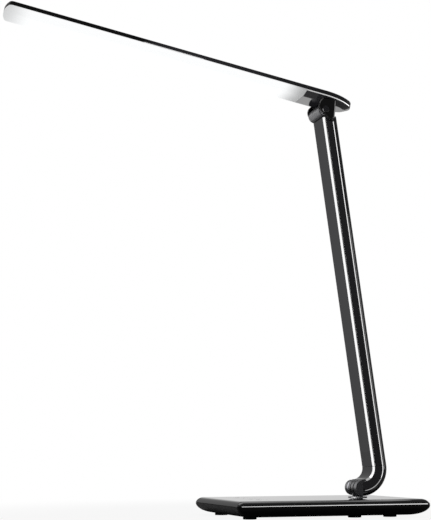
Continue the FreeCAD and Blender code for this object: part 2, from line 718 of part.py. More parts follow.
def make_front_cover():
    body = new_body("arm_front_cover")
    panel = box_outline(new_sketch(body, "XY_Plane", BEND_RISE), f"-{ARM_HALF}", ARM_HALF, ARM_FRONT,
                        f"{ARM_FRONT} + arm_cover_thickness")
    shape = pad(body, panel, f"{ARM_TOP} - {BEND_RISE}")
    front = amount(ARM_FRONT)
    rounded(body, shape, lambda edge: runs_along(edge, Vector(0, 0, 1))
            and abs(edge.CenterOfMass.y - front) < SMALL, "arm_front_round")
    return keep(body, "arm_front_cover", "arm")


def make_spine():
    body = new_body("arm_spine")
    back = f"{ARM_BACK} - arm_wall"
    strip = box_outline(new_sketch(body, "XY_Plane", f"{BEND_RISE} + spine_end_gap"), "-spine_width / 2",
                        "spine_width / 2", f"{back} - spine_thickness", back)
    pad(body, strip, f"{ARM_TOP} - {BEND_RISE} - 2 * spine_end_gap")
    return keep(body, "arm_spine", "arm")


def make_arm_cable():
    body = new_body("arm_cable")
    middle = f"{ARM_BACK} - arm_wall - spine_thickness - cable_radius"
    wire = circle(new_sketch(body, "XY_Plane", f"{BEND_RISE} + spine_end_gap"), "0", middle,
                  "cable_radius")
    pad(body, wire, f"{ARM_TOP} - {BEND_RISE} - 2 * spine_end_gap")
    return keep(body, "arm_cable", "arm")


def make_upper_barrel():
    """The arm's end of the upper hinge, with a tongue inside the arm's shells."""
    body = new_body("upper_barrel")
    barrel = circle(new_sketch(body, "YZ_Plane"), HEAD_AXIS_SIDE, "arm_length", "upper_barrel_radius")
    pad(body, barrel, "arm_width", both_ways=True)
    tongue = box_outline(new_sketch(body, "YZ_Plane"),
                         f"{ARM_FRONT} + arm_cover_thickness + upper_tongue_clearance",
                         f"{ARM_BACK} - arm_wall - upper_tongue_clearance",
                         f"{ARM_TOP} - upper_tongue", "arm_length")
    pad(body, tongue, f"2 * ({ARM_INSIDE} - upper_tongue_clearance)", both_ways=True)
    bore = circle(new_sketch(body, "YZ_Plane"), HEAD_AXIS_SIDE, "arm_length",
                  "upper_pin_radius + running_clearance")
    pocket(body, bore, "arm_width + 2 * overrun", both_ways=True)
    return keep(body, "upper_barrel", "arm")


# Bracket and upper hinge

def make_bracket():
    """Two cheeks beside the arm's end, joined by a web under the head."""
    body = new_body("head_bracket")
    cheeks = outline(new_sketch(body, "YZ_Plane"), (
        ("-cheek_front", HEAD_UNDER), ("-cheek_front", "0"),
        ("0", "-cheek_front", "cheek_front", "left"),
        ("cheek_rear", "-cheek_drop"), ("cheek_rear_top", HEAD_UNDER)))
    shape = pad(body, cheeks, f"2 * {CHEEK_OUTSIDE}", both_ways=True)
    side = amount(CHEEK_OUTSIDE)
    top = amount(HEAD_UNDER)
    shape = rounded(body, shape, lambda edge: abs(abs(edge.CenterOfMass.x) - side) < SMALL
                    and edge.CenterOfMass.z < top - SMALL, "cheek_round")
    gap = outline(new_sketch(body, "YZ_Plane"), (
        ("-cheek_front - overrun", WEB_UNDER), ("-cheek_front - overrun", "-cheek_drop - overrun"),
        ("cheek_rear + overrun", "-cheek_drop - overrun"), ("cheek_rear + overrun", WEB_UNDER)))
    pocket(body, gap, f"2 * {CHEEK_INSIDE}", both_ways=True)
    bore = circle(new_sketch(body, "YZ_Plane"), "0", "0", "upper_pin_radius")
    pocket(body, bore, f"2 * ({CHEEK_OUTSIDE} + overrun)", both_ways=True)
    for sign in (1, -1):
        level = f"{sign} * {CHEEK_OUTSIDE}"
        seat = circle(new_sketch(body, "YZ_Plane", level), "0", "0", "cap_radius")
        pocket(body, seat, "cap_thickness", backwards=sign < 0)
    for sign in (1, -1):
        place = f"{sign} * bracket_screw_side"
        hole = circle(new_sketch(body, "XY_Plane", HEAD_UNDER), place, "0",
                      "screw_radius + screw_clearance")
        pocket(body, hole, "head_thickness")
        head = circle(new_sketch(body, "XY_Plane", f"{WEB_UNDER} + screw_head_height"), place, "0",
                      "screw_head_radius + screw_clearance")
        pocket(body, head, "screw_head_height + overrun")
    return keep(body, "head_bracket", "head")


def make_upper_pin():
    body = new_body("upper_hinge_pin")
    sketch = circle(new_sketch(body, "YZ_Plane"), "0", "0", "upper_pin_radius")
    pad(body, sketch, f"2 * ({CHEEK_OUTSIDE} - cap_thickness)", both_ways=True)
    return keep(body, "upper_hinge_pin", "head")


def make_upper_washers():
    return ring_group((ARM_HALF, f"-{ARM_HALF} - washer_thickness"),
                      "upper_pin_radius + running_clearance", "upper_barrel_radius - washer_step",
                      "washer_thickness", "upper_friction_washers", "head")


def make_pin_caps():
    caps = [cylinder(level, "0", "0", "cap_radius", "cap_thickness", "X")
            for level in (f"{CHEEK_OUTSIDE} - cap_thickness", f"-{CHEEK_OUTSIDE}")]
    return group(caps, "upper_pin_caps", "head")


# Head

def tail_points(inset, flip):
    """Where the side arc and the tip arc of the rounded rear end meet, for a plan inset."""
    half = f"(head_width / 2 - {inset})"
    run = f"(tail_length - {inset})"
    tip = f"(tail_tip_radius - {inset})"
    side = f"(({run}^2 + {half}^2 - 2 * {run} * {tip}) / (2 * ({half} - {tip})))"
    start = f"(head_rear - {inset} - {run})"
    reach = f"sqrt(({side} - {half})^2 + ({run} - {tip})^2)"
    x = f"{flip} * ({half} - {side} + {side} * ({side} - {half}) / {reach})"
    y = f"({start} + {side} * ({run} - {tip}) / {reach})"
    return half, side, start, tip, x, y


def bowed_front(inset):
    """The head's front end from its left side to its right: a corner, the bow and a corner."""
    half = f"(head_width / 2 - {inset})"
    corner = f"(head_front_corner - {inset})"
    bow = f"(head_front_bow - {inset})"
    across = "(head_width / 2 - head_front_corner)"
    reach = "(head_front_bow - head_front_corner)"
    deep = f"sqrt({reach}^2 - {across}^2)"
    middle = f"({HEAD_FRONT} + head_front_bow)"
    side = f"({middle} - {deep})"
    x = f"({bow} * {across} / {reach})"
    y = f"({middle} - {bow} * {deep} / {reach})"
    return [(f"-{half}", side), (f"-{x}", y, corner, "left"), (x, y, bow, "left"),
            (half, side, corner, "left")]


def head_outline(sketch, inset, front=None):
    """The head's plan, from its bowed front end or a straight front line to the rounded rear."""
    half, side, start, tip, right_x, join_y = tail_points(inset, "1")
    left_x = tail_points(inset, "-1")[4]
    rear = f"head_rear - {inset}"
    steps = [(half, start), (right_x, join_y, side, "left"), ("0", rear, tip, "left"),
             (left_x, join_y, tip, "left"), (f"-{half}", start, side, "left")]
    if front:
        steps += [(f"-{half}", front), (half, front)]
    else:
        steps += bowed_front(inset)
    return outline(sketch, steps)


def diffuser_outline(sketch, inset):
    """The diffuser's plan: straight at the rear cover, bowed at the front."""
    half = f"(head_width / 2 - {inset})"
    rear = f"{COVER_FRONT} - cover_joint - {inset}"
    return outline(sketch, [(half, rear), (f"-{half}", rear)] + bowed_front(inset))


def at_level(level):
    height = amount(level)
    return lambda edge: all(abs(vertex.Z - height) < SMALL for vertex in edge.Vertexes)


def bracket_screw_places():
    return [(f"{side} * bracket_screw_side", "0") for side in (1, -1)]


def make_head_top():
    body = new_body("head_top_cover")
    plan = head_outline(new_sketch(body, "XY_Plane", BAND_UNDER), "0")
    shape = pad(body, plan, "head_band")
    rounded(body, shape, at_level("head_rise"), "head_round")
    inside = head_outline(new_sketch(body, "XY_Plane", HEAD_CEILING), "head_wall")
    pocket(body, inside, f"{HEAD_CEILING} - {BAND_UNDER}")
    for x, y in bracket_screw_places():
        post = circle(new_sketch(body, "XY_Plane", f"{HEAD_UNDER} + head_wall"), x, y, "boss_radius")
        pad(body, post, f"{HEAD_CEILING} - {HEAD_UNDER} - head_wall / 2")
        hole = circle(new_sketch(body, "XY_Plane", f"{HEAD_UNDER} + head_wall"), x, y,
                      "screw_radius + screw_clearance")
        pocket(body, hole, "head_thickness - 2 * head_wall - head_round", backwards=True)
    return keep(body, "head_top_cover", "head")


def make_head_rear():
    body = new_body("head_rear_cover")
    plan = head_outline(new_sketch(body, "XY_Plane", HEAD_UNDER), "0", COVER_FRONT)
    shape = pad(body, plan, f"{BAND_UNDER} - {HEAD_UNDER}")
    front = amount(COVER_FRONT)
    low = at_level(HEAD_UNDER)
    rounded(body, shape, lambda edge: low(edge) and edge.CenterOfMass.y > front + SMALL, "diffuser_round")
    inside = head_outline(new_sketch(body, "XY_Plane", f"{HEAD_UNDER} + head_wall"), "diffuser_round",
                          f"{COVER_FRONT} + head_wall")
    pocket(body, inside, "head_thickness", backwards=True)
    for x, y in bracket_screw_places():
        hole = circle(new_sketch(body, "XY_Plane", BAND_UNDER), x, y, "screw_radius + screw_clearance")
        pocket(body, hole, "head_thickness")
    return keep(body, "head_rear_cover", "head")


def make_diffuser():
    body = new_body("diffuser")
    plan = diffuser_outline(new_sketch(body, "XY_Plane", HEAD_UNDER), "0")
    shape = pad(body, plan, f"{BAND_UNDER} - {HEAD_UNDER}")
    rear = amount(f"{COVER_FRONT} - cover_joint")
    low = at_level(HEAD_UNDER)
    rounded(body, shape, lambda edge: low(edge) and edge.CenterOfMass.y < rear - SMALL, "diffuser_round")
    inside = diffuser_outline(new_sketch(body, "XY_Plane", f"{HEAD_UNDER} + diffuser_wall"),
                              "diffuser_round")
    pocket(body, inside, "head_thickness", backwards=True)
    return keep(body, "diffuser", "head")


def make_led_board():
    body = new_body("led_board")
    plan = box_outline(new_sketch(body, "XY_Plane", f"{HEAD_CEILING} - led_board_thickness"),
                       "-led_board_width / 2", "led_board_width / 2", LED_FRONT, LED_REAR)
    pad(body, plan, "led_board_thickness")
    return keep(body, "led_board", "head")


def make_light_chips():
    run = amount(f"{LED_REAR} - {LED_FRONT} - 2 * led_size")
    count = int(run // amount("led_pitch"))
    chips = []
    for side in (1, -1):
        for step in range(count + 1):
            chips.append(block(f"{side} * led_row_offset - led_size / 2",
                               f"{LED_FRONT} + led_size / 2 + {step} * led_pitch",
                               f"{HEAD_CEILING} - led_board_thickness - led_height",
                               "led_size", "led_size", "led_height"))
    return group(chips, "light_chips", "head")


def make_reflector():
    body = new_body("reflector_frame")
    top = f"{HEAD_CEILING} - led_board_thickness"
    sketch = new_sketch(body, "XY_Plane", f"{top} - reflector_depth")
    half = "led_board_width / 2"
    box_outline(sketch, f"-{half}", half, LED_FRONT, LED_REAR)
    box_outline(sketch, f"-{half} + reflector_wall", f"{half} - reflector_wall",
                f"{LED_FRONT} + reflector_wall", f"{LED_REAR} - reflector_wall")
    pad(body, sketch, "reflector_depth")
    return keep(body, "reflector_frame", "head")


def make_bracket_screws():
    screws = [screw(x, y, WEB_UNDER, "bracket_screw_length") for x, y in bracket_screw_places()]
    return group(screws, "bracket_screws", "head")


make_bottom_cover()
make_top_cover()
make_ballast()
make_feet()
make_base_screws()
make_touch_panel()
make_control_board()
make_power_inlet()
make_swivel_bush()
make_swivel_neck()
make_lower_pin()
make_lower_washers()
make_wave_washer()
make_swivel_nut()
make_elbow()
make_collar("1", "hinge_collar_right")
make_collar("-1", "hinge_collar_left")
make_rear_shell()
make_front_cover()
make_spine()
make_arm_cable()
make_upper_barrel()
make_bracket()
make_upper_pin()
make_upper_washers()
make_pin_caps()
make_head_top()
make_head_rear()
make_diffuser()
make_led_board()
make_light_chips()
make_reflector()
make_bracket_screws()
doc.recompute()

for thing in doc.Objects:
    if "Invalid" in thing.State or "Error" in thing.State:
        raise ValueError(f"{thing.Name} of {thing.Label} could not be worked out: {thing.State}")
os.makedirs("parts", exist_ok=True)
for node in NODES:
    if node.Shape.isNull() or not node.Shape.isValid():
        raise ValueError(f"{node.Label} has no sound solid")
    box = node.Shape.BoundBox
    print(f"{node.Label}: {len(node.Shape.Solids)} solids, {node.Shape.Volume:.0f} mm3,"
          f" x {box.XMin:.1f} {box.XMax:.1f}, y {box.YMin:.1f} {box.YMax:.1f},"
          f" z {box.ZMin:.1f} {box.ZMax:.1f}")
    node.Shape.exportStep(f"parts/{node.Label}.step")
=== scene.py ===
"""Folding LED desk lamp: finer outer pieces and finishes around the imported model, a studio and a camera.

The file is laid out as an add-on and is run as a script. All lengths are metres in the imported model's frame.
"""
import json
import math

import bmesh
import bpy
from bpy.props import FloatProperty, FloatVectorProperty, PointerProperty
from bpy.types import Operator, Panel, PropertyGroup
from mathutils import Matrix, Vector


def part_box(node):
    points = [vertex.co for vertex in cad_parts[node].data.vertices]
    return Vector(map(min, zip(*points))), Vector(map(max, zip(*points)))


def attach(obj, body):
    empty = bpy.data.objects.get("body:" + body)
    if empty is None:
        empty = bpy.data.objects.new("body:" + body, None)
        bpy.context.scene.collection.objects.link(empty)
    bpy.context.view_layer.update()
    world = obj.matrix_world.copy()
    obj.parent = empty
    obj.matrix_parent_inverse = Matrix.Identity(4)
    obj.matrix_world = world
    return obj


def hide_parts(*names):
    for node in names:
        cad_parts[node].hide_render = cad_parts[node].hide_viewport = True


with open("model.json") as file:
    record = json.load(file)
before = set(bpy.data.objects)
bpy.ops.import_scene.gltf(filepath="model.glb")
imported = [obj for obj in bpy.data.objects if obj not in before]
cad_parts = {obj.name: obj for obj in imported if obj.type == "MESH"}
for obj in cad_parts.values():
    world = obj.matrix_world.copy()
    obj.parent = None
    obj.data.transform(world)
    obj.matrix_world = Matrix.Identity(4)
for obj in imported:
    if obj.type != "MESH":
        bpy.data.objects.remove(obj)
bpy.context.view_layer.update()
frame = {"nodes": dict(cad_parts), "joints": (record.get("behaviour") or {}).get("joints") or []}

bl_info = {
    "name": "Folding LED desk lamp",
    "version": (1, 0, 0),
    "blender": (4, 5, 0),
    "location": "View3D > Sidebar > Desk Lamp",
    "description": "Builds the outer pieces, finishes and studio of a folding LED desk lamp",
    "category": "Object",
}

MM = 0.001
JOINTS = {joint["name"]: Vector(joint["pos_m"]) for joint in frame["joints"]}
SWIVEL = JOINTS["base_swivel"]
PIVOT = JOINTS["arm_fold"]
HEAD_AXIS = JOINTS["head_tilt"]
BASE_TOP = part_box("base_top_cover")[1]
BASE_LOW, BASE_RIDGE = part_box("base_bottom_cover")
CORNER_STEPS = 10
SHELL_STEPS = 16
TURN_STEPS = 96
WELD = 0.001 * MM
SHARP_ANGLE = math.radians(38)
SOFT_STEPS = 3
NORMAL_WEIGHT = 50
QUARTER = math.pi / 2
FULL_TURN = 2 * math.pi
BEND_STEPS = 48
SIDE_STEPS = 24
MITRE_LEAST = 0.5

# Small sizes

FOOT_EDGE = 0.5 * MM
FOOT_DIMPLE_SHARE = 0.6
SHOULDER_START = math.radians(20)
SCREW_END = 8.0 * MM
SCREW_SINK = 0.1 * MM
SLOT_HALF = 1.4 * MM
SLOT_WIDTH = 0.55 * MM
SLOT_DEPTH = 0.8 * MM
INK_HEIGHT = 0.02 * MM
INK_SINK = 0.05 * MM
INK_WIDTH = 0.5 * MM
SYMBOL_HALF = 2.2 * MM
SYMBOL_STEP = 22 * MM
SYMBOL_NEAR = SYMBOL_STEP / 2
SYMBOL_FAR = SYMBOL_STEP * 1.5
POWER_ARC = (math.radians(125), math.radians(415))
POWER_BAR_RISE = SYMBOL_HALF * 0.75
SUN_RAYS = 8
SUN_RAY_HALF = SYMBOL_HALF / 5
RIB_EDGE = 0.25 * MM
SEAT_GAP = 0.5 * MM
SEAT_PLAY = 0.05 * MM
SLOT_GAP = 0.7 * MM
NECK_SLOT = 11 * MM
KEEL_END_SHARE = 0.1
DIFFUSER_LEAN_SHARE = 0.25

# Grain and marks of the finishes

NOISE_MIDDLE = (0.3, 0.7)
HAZE_SIZE = 28 * MM
DUST_SIZE = 0.7 * MM
RIPPLE_SIZE = 9 * MM
RIPPLE_DEPTH = 0.01 * MM
SPARK_SIZE = 0.25 * MM
SPARK_DEPTH = 0.02 * MM
RING_STEP = 0.45 * MM
RING_WOBBLE = 2 * MM
RING_DEPTH = 0.012 * MM
MOTTLE_SIZE = 1.8 * MM
PATCH_SIZE = 3 * MM
RUBBER_SIZE = 1.5 * MM
RUBBER_DEPTH = 0.03 * MM
OPAL_SIZE = 0.4 * MM
OPAL_DEPTH = 0.01 * MM
GLOW_PAST = 2 * MM
GLOW_FRONT_FADE = 26 * MM
GLOW_REAR_FADE = 24 * MM
ACETAL_SIZE = 0.9 * MM
TRACK_STEP = 6 * MM
LACQUER_SIZE = 2.5 * MM
PHOSPHOR_SIZE = 0.3 * MM
CHALK_SIZE = 0.5 * MM
SCREEN_SIZE = 0.3 * MM
FIBRE_SIZE = 4 * MM

# Values of the studio

FLOOR_HALF = 0.55
FLOOR_LEVEL = -0.02 * MM
FLOOR_NEAR_SHARE = 0.4
FLOOR_WHITE_NEAR = 0.9
# The room around the lamp: dim in front, brighter beside it and, in mirror images, along BACK_WAY
BACK_WAY = (-0.955, 0.28, 0.1)
BACK_START = 0.955
BACK_FULL = 1.0
BACK_GLOW = 0.42
ROOM_FRONT = 0.1
ROOM_SIDE = 0.34
ROOM_BELOW = 0.2
BELOW_FULL = -0.6
BELOW_START = -0.45
# The camera, fitted to the outlines in the photo
PHOTO_HEIGHT = 520
SENSOR = 36.0
FOCAL_PIXELS = 1231.685
VIEW_YAW = math.radians(16.453)
VIEW_PITCH = math.radians(9.043)
VIEW_ROLL = math.radians(-0.227)
VIEW_FROM = (1.107291, -0.417845, 0.055684)
PALE = ("light_diffuser", "touch_symbols", "floor")
# Name, place, aimed at, width, height, watts, and the pieces that it leaves out or that it lights alone
LIGHTS = (
    ("top_softbox", (-0.6, 0.0, 1.4), (0.0, 0.0, 0.2), 1.6, 1.2, 11.0, "EXCLUDE", ()),
    ("front_strip", (0.085, -0.14, 0.22), (0.0, 0.06, 0.22), 0.2, 0.43, 6.5, "EXCLUDE",
     (*PALE, "head_yoke", "neck_knuckle", "base_lower_cover", "base_upper_cover", "touch_strip_plate",
      "rubber_feet_set")),
    ("right_strip", (0.75, 0.75, 0.27), (0.0, 0.05, 0.25), 0.4, 0.5, 1.6, "EXCLUDE", PALE),
    ("key_strip", (1.0, 0.48, 0.76), (0.0, 0.0, 0.05), 0.5, 0.22, 6.0, "INCLUDE", ("base_upper_cover",)),
    ("tail_strip", (0.1, 0.7, 1.05), (0.0, 0.03, 0.4), 1.7, 0.9, 60.0, "INCLUDE", ("head_rear_shell",)),
    ("under_strip", (-0.83, 0.23, 0.05), (0.0, 0.02, 0.4), 0.7, 0.4, 1.2, "INCLUDE", ("head_rear_shell",)),
    ("rear_strip", (0.1, 0.95, 0.66), (0.0, 0.03, 0.38), 0.6, 0.5, 4.0, "INCLUDE", ("head_yoke",)),
    ("foot_strip", (0.45, -0.15, 0.85), (0.0, 0.06, 0.04), 0.9, 0.9, 22.0, "INCLUDE", ("arm_foot",)),
    ("barrel_fill", (-0.9, -0.35, 0.37), (0.0, 0.02, 0.37), 0.6, 0.8, 3.0, "INCLUDE",
     ("upper_barrel", "neck_knuckle", "hinge_collar_pair")),
)


# Settings

def linear(code):
    """A colour written as an sRGB hex value, in linear light."""
    channels = [int(code[index:index + 2], 16) / 255 for index in (1, 3, 5)]
    return tuple(value / 12.92 if value <= 0.04045 else ((value + 0.055) / 1.055) ** 2.4
                 for value in channels)


def length(name, description, millimetres):
    return FloatProperty(name=name, description=description, default=millimetres * MM, min=0.0,
                         precision=4, subtype="DISTANCE", unit="LENGTH")


def angle(name, description, degrees):
    return FloatProperty(name=name, description=description, default=math.radians(degrees),
                         subtype="ANGLE", unit="ROTATION")


def colour(name, description, code):
    return FloatVectorProperty(name=name, description=description, default=linear(code), min=0.0, max=1.0,
                               size=3, subtype="COLOR")


class BaseSizes(PropertyGroup):
    """Sizes of the base."""
    corner: length("Corner", "Plan corner radius of the base", 3.5)
    undercut: length("Undercut", "How far the flat underside stands in from the widest line", 16.0)
    shoulder: length("Shoulder", "How far the flat top stands in from the widest line", 6.0)
    wall: length("Wall", "Wall of both base covers", 2.2)
    seam: length("Seam", "Half the gap between the two covers at the widest line", 0.1)
    edge: length("Edge", "Softening of moulded edges", 0.15)
    foot_radius: length("Foot radius", "Radius of the rubber feet", 6.1)
    foot_side: length("Foot side", "Feet from the middle line", 44.0)
    foot_front: length("Front feet", "Front feet forward of the middle", 73.0)
    foot_middle: length("Middle feet", "Middle feet behind the middle", 27.4)
    foot_rear: length("Rear feet", "Rear feet behind the middle", 62.4)
    screw_side: length("Screw side", "Base screws from the middle line", 47.0)
    screw_reach: length("Screw reach", "Base screws front and back of the middle", 47.0)
    screw_head: length("Screw head", "Radius of the screw heads", 2.4)
    screw_head_height: length("Screw head height", "Height of the screw heads", 1.3)
    screw_radius: length("Screw shank", "Radius of the screws' shanks", 1.25)
    strip_half_width: length("Touch strip", "Half the width of the touch strip", 46.0)
    strip_half_depth: length("Touch strip depth", "Half the depth of the touch strip", 7.5)
    strip_thickness: length("Touch strip thickness", "Thickness of the touch strip", 0.8)
    strip_front: length("Touch strip place", "Touch strip's middle forward of the base's middle", 61.0)
    strip_gap: length("Touch strip gap", "Gap around the touch strip", 0.1)
    inlet_height: length("Inlet height", "Table to the power inlet's middle", 8.2)
    inlet_radius: length("Inlet hole", "Radius of the hole for the power inlet's mouth", 3.1)
    inlet_depth: length("Inlet depth", "Depth of the hole for the power inlet's mouth", 19.0)


class NeckSizes(PropertyGroup):
    """Sizes of the turning neck and the lower hinge."""
    barrel_radius: length("Barrel", "Radius of the ribbed barrel", 7.3)
    knuckle_half: length("Knuckle", "Half the width of the barrel's middle part", 6.6)
    groove: length("Groove", "Depth and half width of the barrel's grooves", 0.7)
    pin_radius: length("Pin", "Radius of the hinge pin", 2.5)
    neck_radius: length("Neck", "Radius of the neck", 5.0)
    collar_inside: length("Collar inside", "Inner side of the outer ribs", 7.0)
    collar_outside: length("Collar outside", "Outer side of the outer ribs", 12.0)
    tongue_reach: length("Tongue", "Tongue of the outer ribs into the elbow", 10.0)
    tongue_below: length("Tongue below", "Tongue below the hinge axis", 2.5)
    tongue_above: length("Tongue above", "Tongue above the hinge axis", 5.0)
    bush_radius: length("Bush", "Radius of the bearing bush", 7.0)
    flange_radius: length("Flange", "Radius of the bush's flange", 9.0)
    flange: length("Flange height", "Height of the bush's flange", 0.7)
    bush_length: length("Bush length", "Bush below the base's top", 5.2)


class ArmSizes(PropertyGroup):
    """Sizes of the arm."""
    lean: angle("Lean", "How far the arm leans to the front", 7.45)
    half_width: length("Half width", "Half the arm's width", 14.0)
    depth: length("Depth", "Arm front to back", 15.3)
    wall: length("Wall", "Wall of the arm's shells", 2.0)
    bend: length("Bend", "Radius of the elbow's middle line", 18.29)
    facet: length("Facet", "Width of the facets of the front edges, along each face", 1.8)
    facet_round: length("Facet round", "Rounding of the facets' edges", 0.5)
    back_round: length("Back round", "Rounding of the back edges", 4.5)
    cover: length("Cover", "Thickness of the front cover", 2.4)
    seam: length("Seam", "Half the gap between the two shells", 0.08)
    edge: length("Edge", "Softening of moulded edges", 0.2)
    groove_back: length("Groove place", "Groove of the sides before the arm's back", 5.6)
    groove_half: length("Groove width", "Half the width of the groove", 0.75)
    groove_depth: length("Groove depth", "Depth of the groove", 0.6)
    groove_round: length("Groove round", "Rounding of the groove's edges", 0.3)
    top: length("Top", "Lower hinge to the arm's top end, along the arm", 359.8)


class HeadSizes(PropertyGroup):
    """Sizes of the light head and its bracket."""
    lean: angle("Lean", "How far the head rises to the front", 11.07)
    half_width: length("Half width", "Half the head's width", 20.75)
    rear: length("Rear", "Rear tip behind the upper hinge", 29.85)
    front: length("Front", "Front end before the upper hinge", 321.5)
    rise: length("Rise", "Upper hinge to the top face", 17.53)
    band: length("Band", "Height of the top cover's side band", 3.9)
    thickness: length("Thickness", "Top face to underside", 8.7)
    wall: length("Wall", "Wall of the covers", 1.5)
    round: length("Round", "Rounding of the top cover's upper edge", 0.7)
    tail: length("Tail", "Length of the rounded rear end", 33.0)
    tip: length("Tip", "Radius of the rounded rear end's tip", 14.0)
    corner: length("Corner", "Plan corners of the front end", 4.0)
    bow: length("Bow", "Radius of the bowed front end", 60.0)
    joint: length("Joint", "Joint of diffuser and rear cover, before the upper hinge", 23.25)
    joint_gap: length("Joint gap", "Gap between diffuser and rear cover", 0.2)
    side: length("Side", "Upright part of the side below the top cover's band", 1.2)
    flat: length("Flat", "Half the width of the flat part of the underside", 11.5)
    knee: length("Knee", "Rounding between the sloping side and the flat underside", 9.0)
    lip: length("Lip", "Shadow gap between the top cover and what is below it", 0.2)
    edge: length("Edge", "Softening of moulded edges", 0.25)
    rim: length("Rim", "How far the rear cover's facet under the top cover leans in", 0.34)
    cheek_inside: length("Cheek inside", "Inner side of the bracket's cheeks", 14.4)
    cheek_outside: length("Cheek outside", "Outer side of the bracket's cheeks", 18.4)
    hub_radius: length("Hub", "Round front of the cheeks", 8.0)
    hub_rise: length("Hub rise", "Middle of the cheeks' round front above the hinge", 4.5)
    hub_back: length("Hub back", "Middle of the cheeks' round front behind the hinge", 0.6)
    cheek_drop: length("Cheek drop", "Rear corner of the cheeks below the hinge", 13.0)
    cheek_rear: length("Cheek rear", "Lower rear corner of the cheeks behind the hinge", 11.5)
    cheek_rear_top: length("Cheek rear top", "Upper rear corner of the cheeks behind the hinge", 9.0)
    cheek_round: length("Cheek round", "Rounding of the cheeks' outer edges", 2.4)
    cheek_corner: length("Cheek corner", "Rounding of the cheeks' lower rear corner", 3.4)
    cheek_tuck: length("Cheek tuck", "Cheeks above the underside, inside the rear cover", 3.6)
    web: length("Web", "Underside of the bracket's web above the hinge", 6.7)
    web_front: length("Web front", "Front of the bracket's web before the hinge", 2.5)
    cap_radius: length("Cap", "Radius of the pin caps", 3.6)
    cap_depth: length("Cap depth", "Thickness of the pin caps", 1.2)
    barrel_radius: length("Barrel", "Radius of the upper hinge's barrel", 6.3)
    pin_radius: length("Pin", "Radius of the upper hinge's pin", 2.0)


class LampColours(PropertyGroup):
    """Colours of the finishes."""
    gloss: colour("Gloss black", "Polished black plastic", "#070708")
    satin: colour("Satin black", "Fine-grained black plastic", "#080809")
    barrel: colour("Hinge grey", "Anodised hinge barrel", "#38383a")
    rubber: colour("Rubber", "Rubber feet", "#141414")
    steel: colour("Steel", "Plated steel", "#b9babb")
    opal: colour("Opal", "Milky diffuser", "#b6b8b7")
    glow: colour("Glow", "Light of the diffuser", "#fdfeff")
    symbol: colour("Symbols", "Printed symbols of the touch strip", "#c9ccce")
    floor: colour("Floor", "Pale floor", "#b4b4b4")


class LampSettings(PropertyGroup):
    """All settings of the lamp."""
    base: PointerProperty(type=BaseSizes)
    neck: PointerProperty(type=NeckSizes)
    arm: PointerProperty(type=ArmSizes)
    head: PointerProperty(type=HeadSizes)
    colours: PointerProperty(type=LampColours)


def settings():
    return bpy.context.scene.desk_lamp


def arm_place():
    """The arm's own frame: hinge axis along X, arm upwards, front face towards -Y."""
    return Matrix.Translation(PIVOT) @ Matrix.Rotation(settings().arm.lean, 4, "X")


def head_place():
    """The head's own frame: hinge axis along X, front end towards -Y, top face upwards."""
    return Matrix.Translation(HEAD_AXIS) @ Matrix.Rotation(-settings().head.lean, 4, "X")


# Outlines

def evenly(first, last, steps=SHELL_STEPS):
    """Evenly spaced values from the first to the last, both included."""
    return [first + (last - first) * step / steps for step in range(steps + 1)]


def rounded_ring(corners, steps=CORNER_STEPS):
    """A closed outline through (x, y, radius) corners, with an arc at each corner that has a radius."""
    ring = []
    for index, (x, y, radius) in enumerate(corners):
        corner = Vector((x, y))
        if radius <= 0:
            ring.append(corner)
            continue
        before = (Vector(corners[index - 1][:2]) - corner).normalized()
        after = (Vector(corners[(index + 1) % len(corners)][:2]) - corner).normalized()
        half = before.angle(after) / 2
        centre = corner + (before + after).normalized() * (radius / math.sin(half))
        start = corner + before * (radius / math.tan(half)) - centre
        end = corner + after * (radius / math.tan(half)) - centre
        first = math.atan2(start.y, start.x)
        sweep = math.atan2(start.x * end.y - start.y * end.x, start.dot(end))
        ring += arc(centre, radius, first, first + sweep, steps)
    return ring


def arc(centre, radius, first, last, steps=SHELL_STEPS):
    """Points of an arc between two angles."""
    return [centre + radius * Vector((math.cos(turn), math.sin(turn))) for turn in evenly(first, last, steps)]


def box_ring(half_width, half_depth, radius, middle=0.0):
    front = middle - half_depth
    back = middle + half_depth
    return rounded_ring([(half_width, front, radius), (half_width, back, radius),
                         (-half_width, back, radius), (-half_width, front, radius)])


def inset_ring(ring, distance):
    """The outline moved inwards, for an outline that runs anticlockwise."""
    moved = []
    for index, point in enumerate(ring):
        before = (point - ring[index - 1]).normalized()
        after = (ring[(index + 1) % len(ring)] - point).normalized()
        normal = Vector((-before.y - after.y, before.x + after.x)).normalized()
        lean = max(normal.dot(Vector((-after.y, after.x))), MITRE_LEAST)
        moved.append(point + normal * (distance / lean))
    return moved


def soft_ends(ring, low, high, edge):
    """(outline, level) pairs of a straight run whose two ends are rounded off."""
    lower = []
    upper = []
    for turn in evenly(0.0, QUARTER, SOFT_STEPS):
        near = edge * (1 - math.sin(turn))
        far = edge * (1 - math.cos(turn))
        lower.append((inset_ring(ring, near), low + far))
        upper.append((inset_ring(ring, far), high - near))
    return lower + upper


def upright(ring, level):
    return [Vector((point.x, point.y, level)) for point in ring]


def crosswise(ring, level):
    return [Vector((level, point.x, point.y)) for point in ring]


# Meshes

def new_piece(name, points, faces, place):
    """A new object with its place in its mesh, doubles merged and faces turned outwards."""
    mesh = bpy.data.meshes.new(name)
    mesh.from_pydata([place @ point for point in points], [], faces)
    shell = bmesh.new()
    shell.from_mesh(mesh)
    bmesh.ops.remove_doubles(shell, verts=shell.verts, dist=WELD)
    bmesh.ops.recalc_face_normals(shell, faces=shell.faces)
    shell.to_mesh(mesh)
    shell.free()
    piece = bpy.data.objects.new(name, mesh)
    bpy.context.scene.collection.objects.link(piece)
    return piece


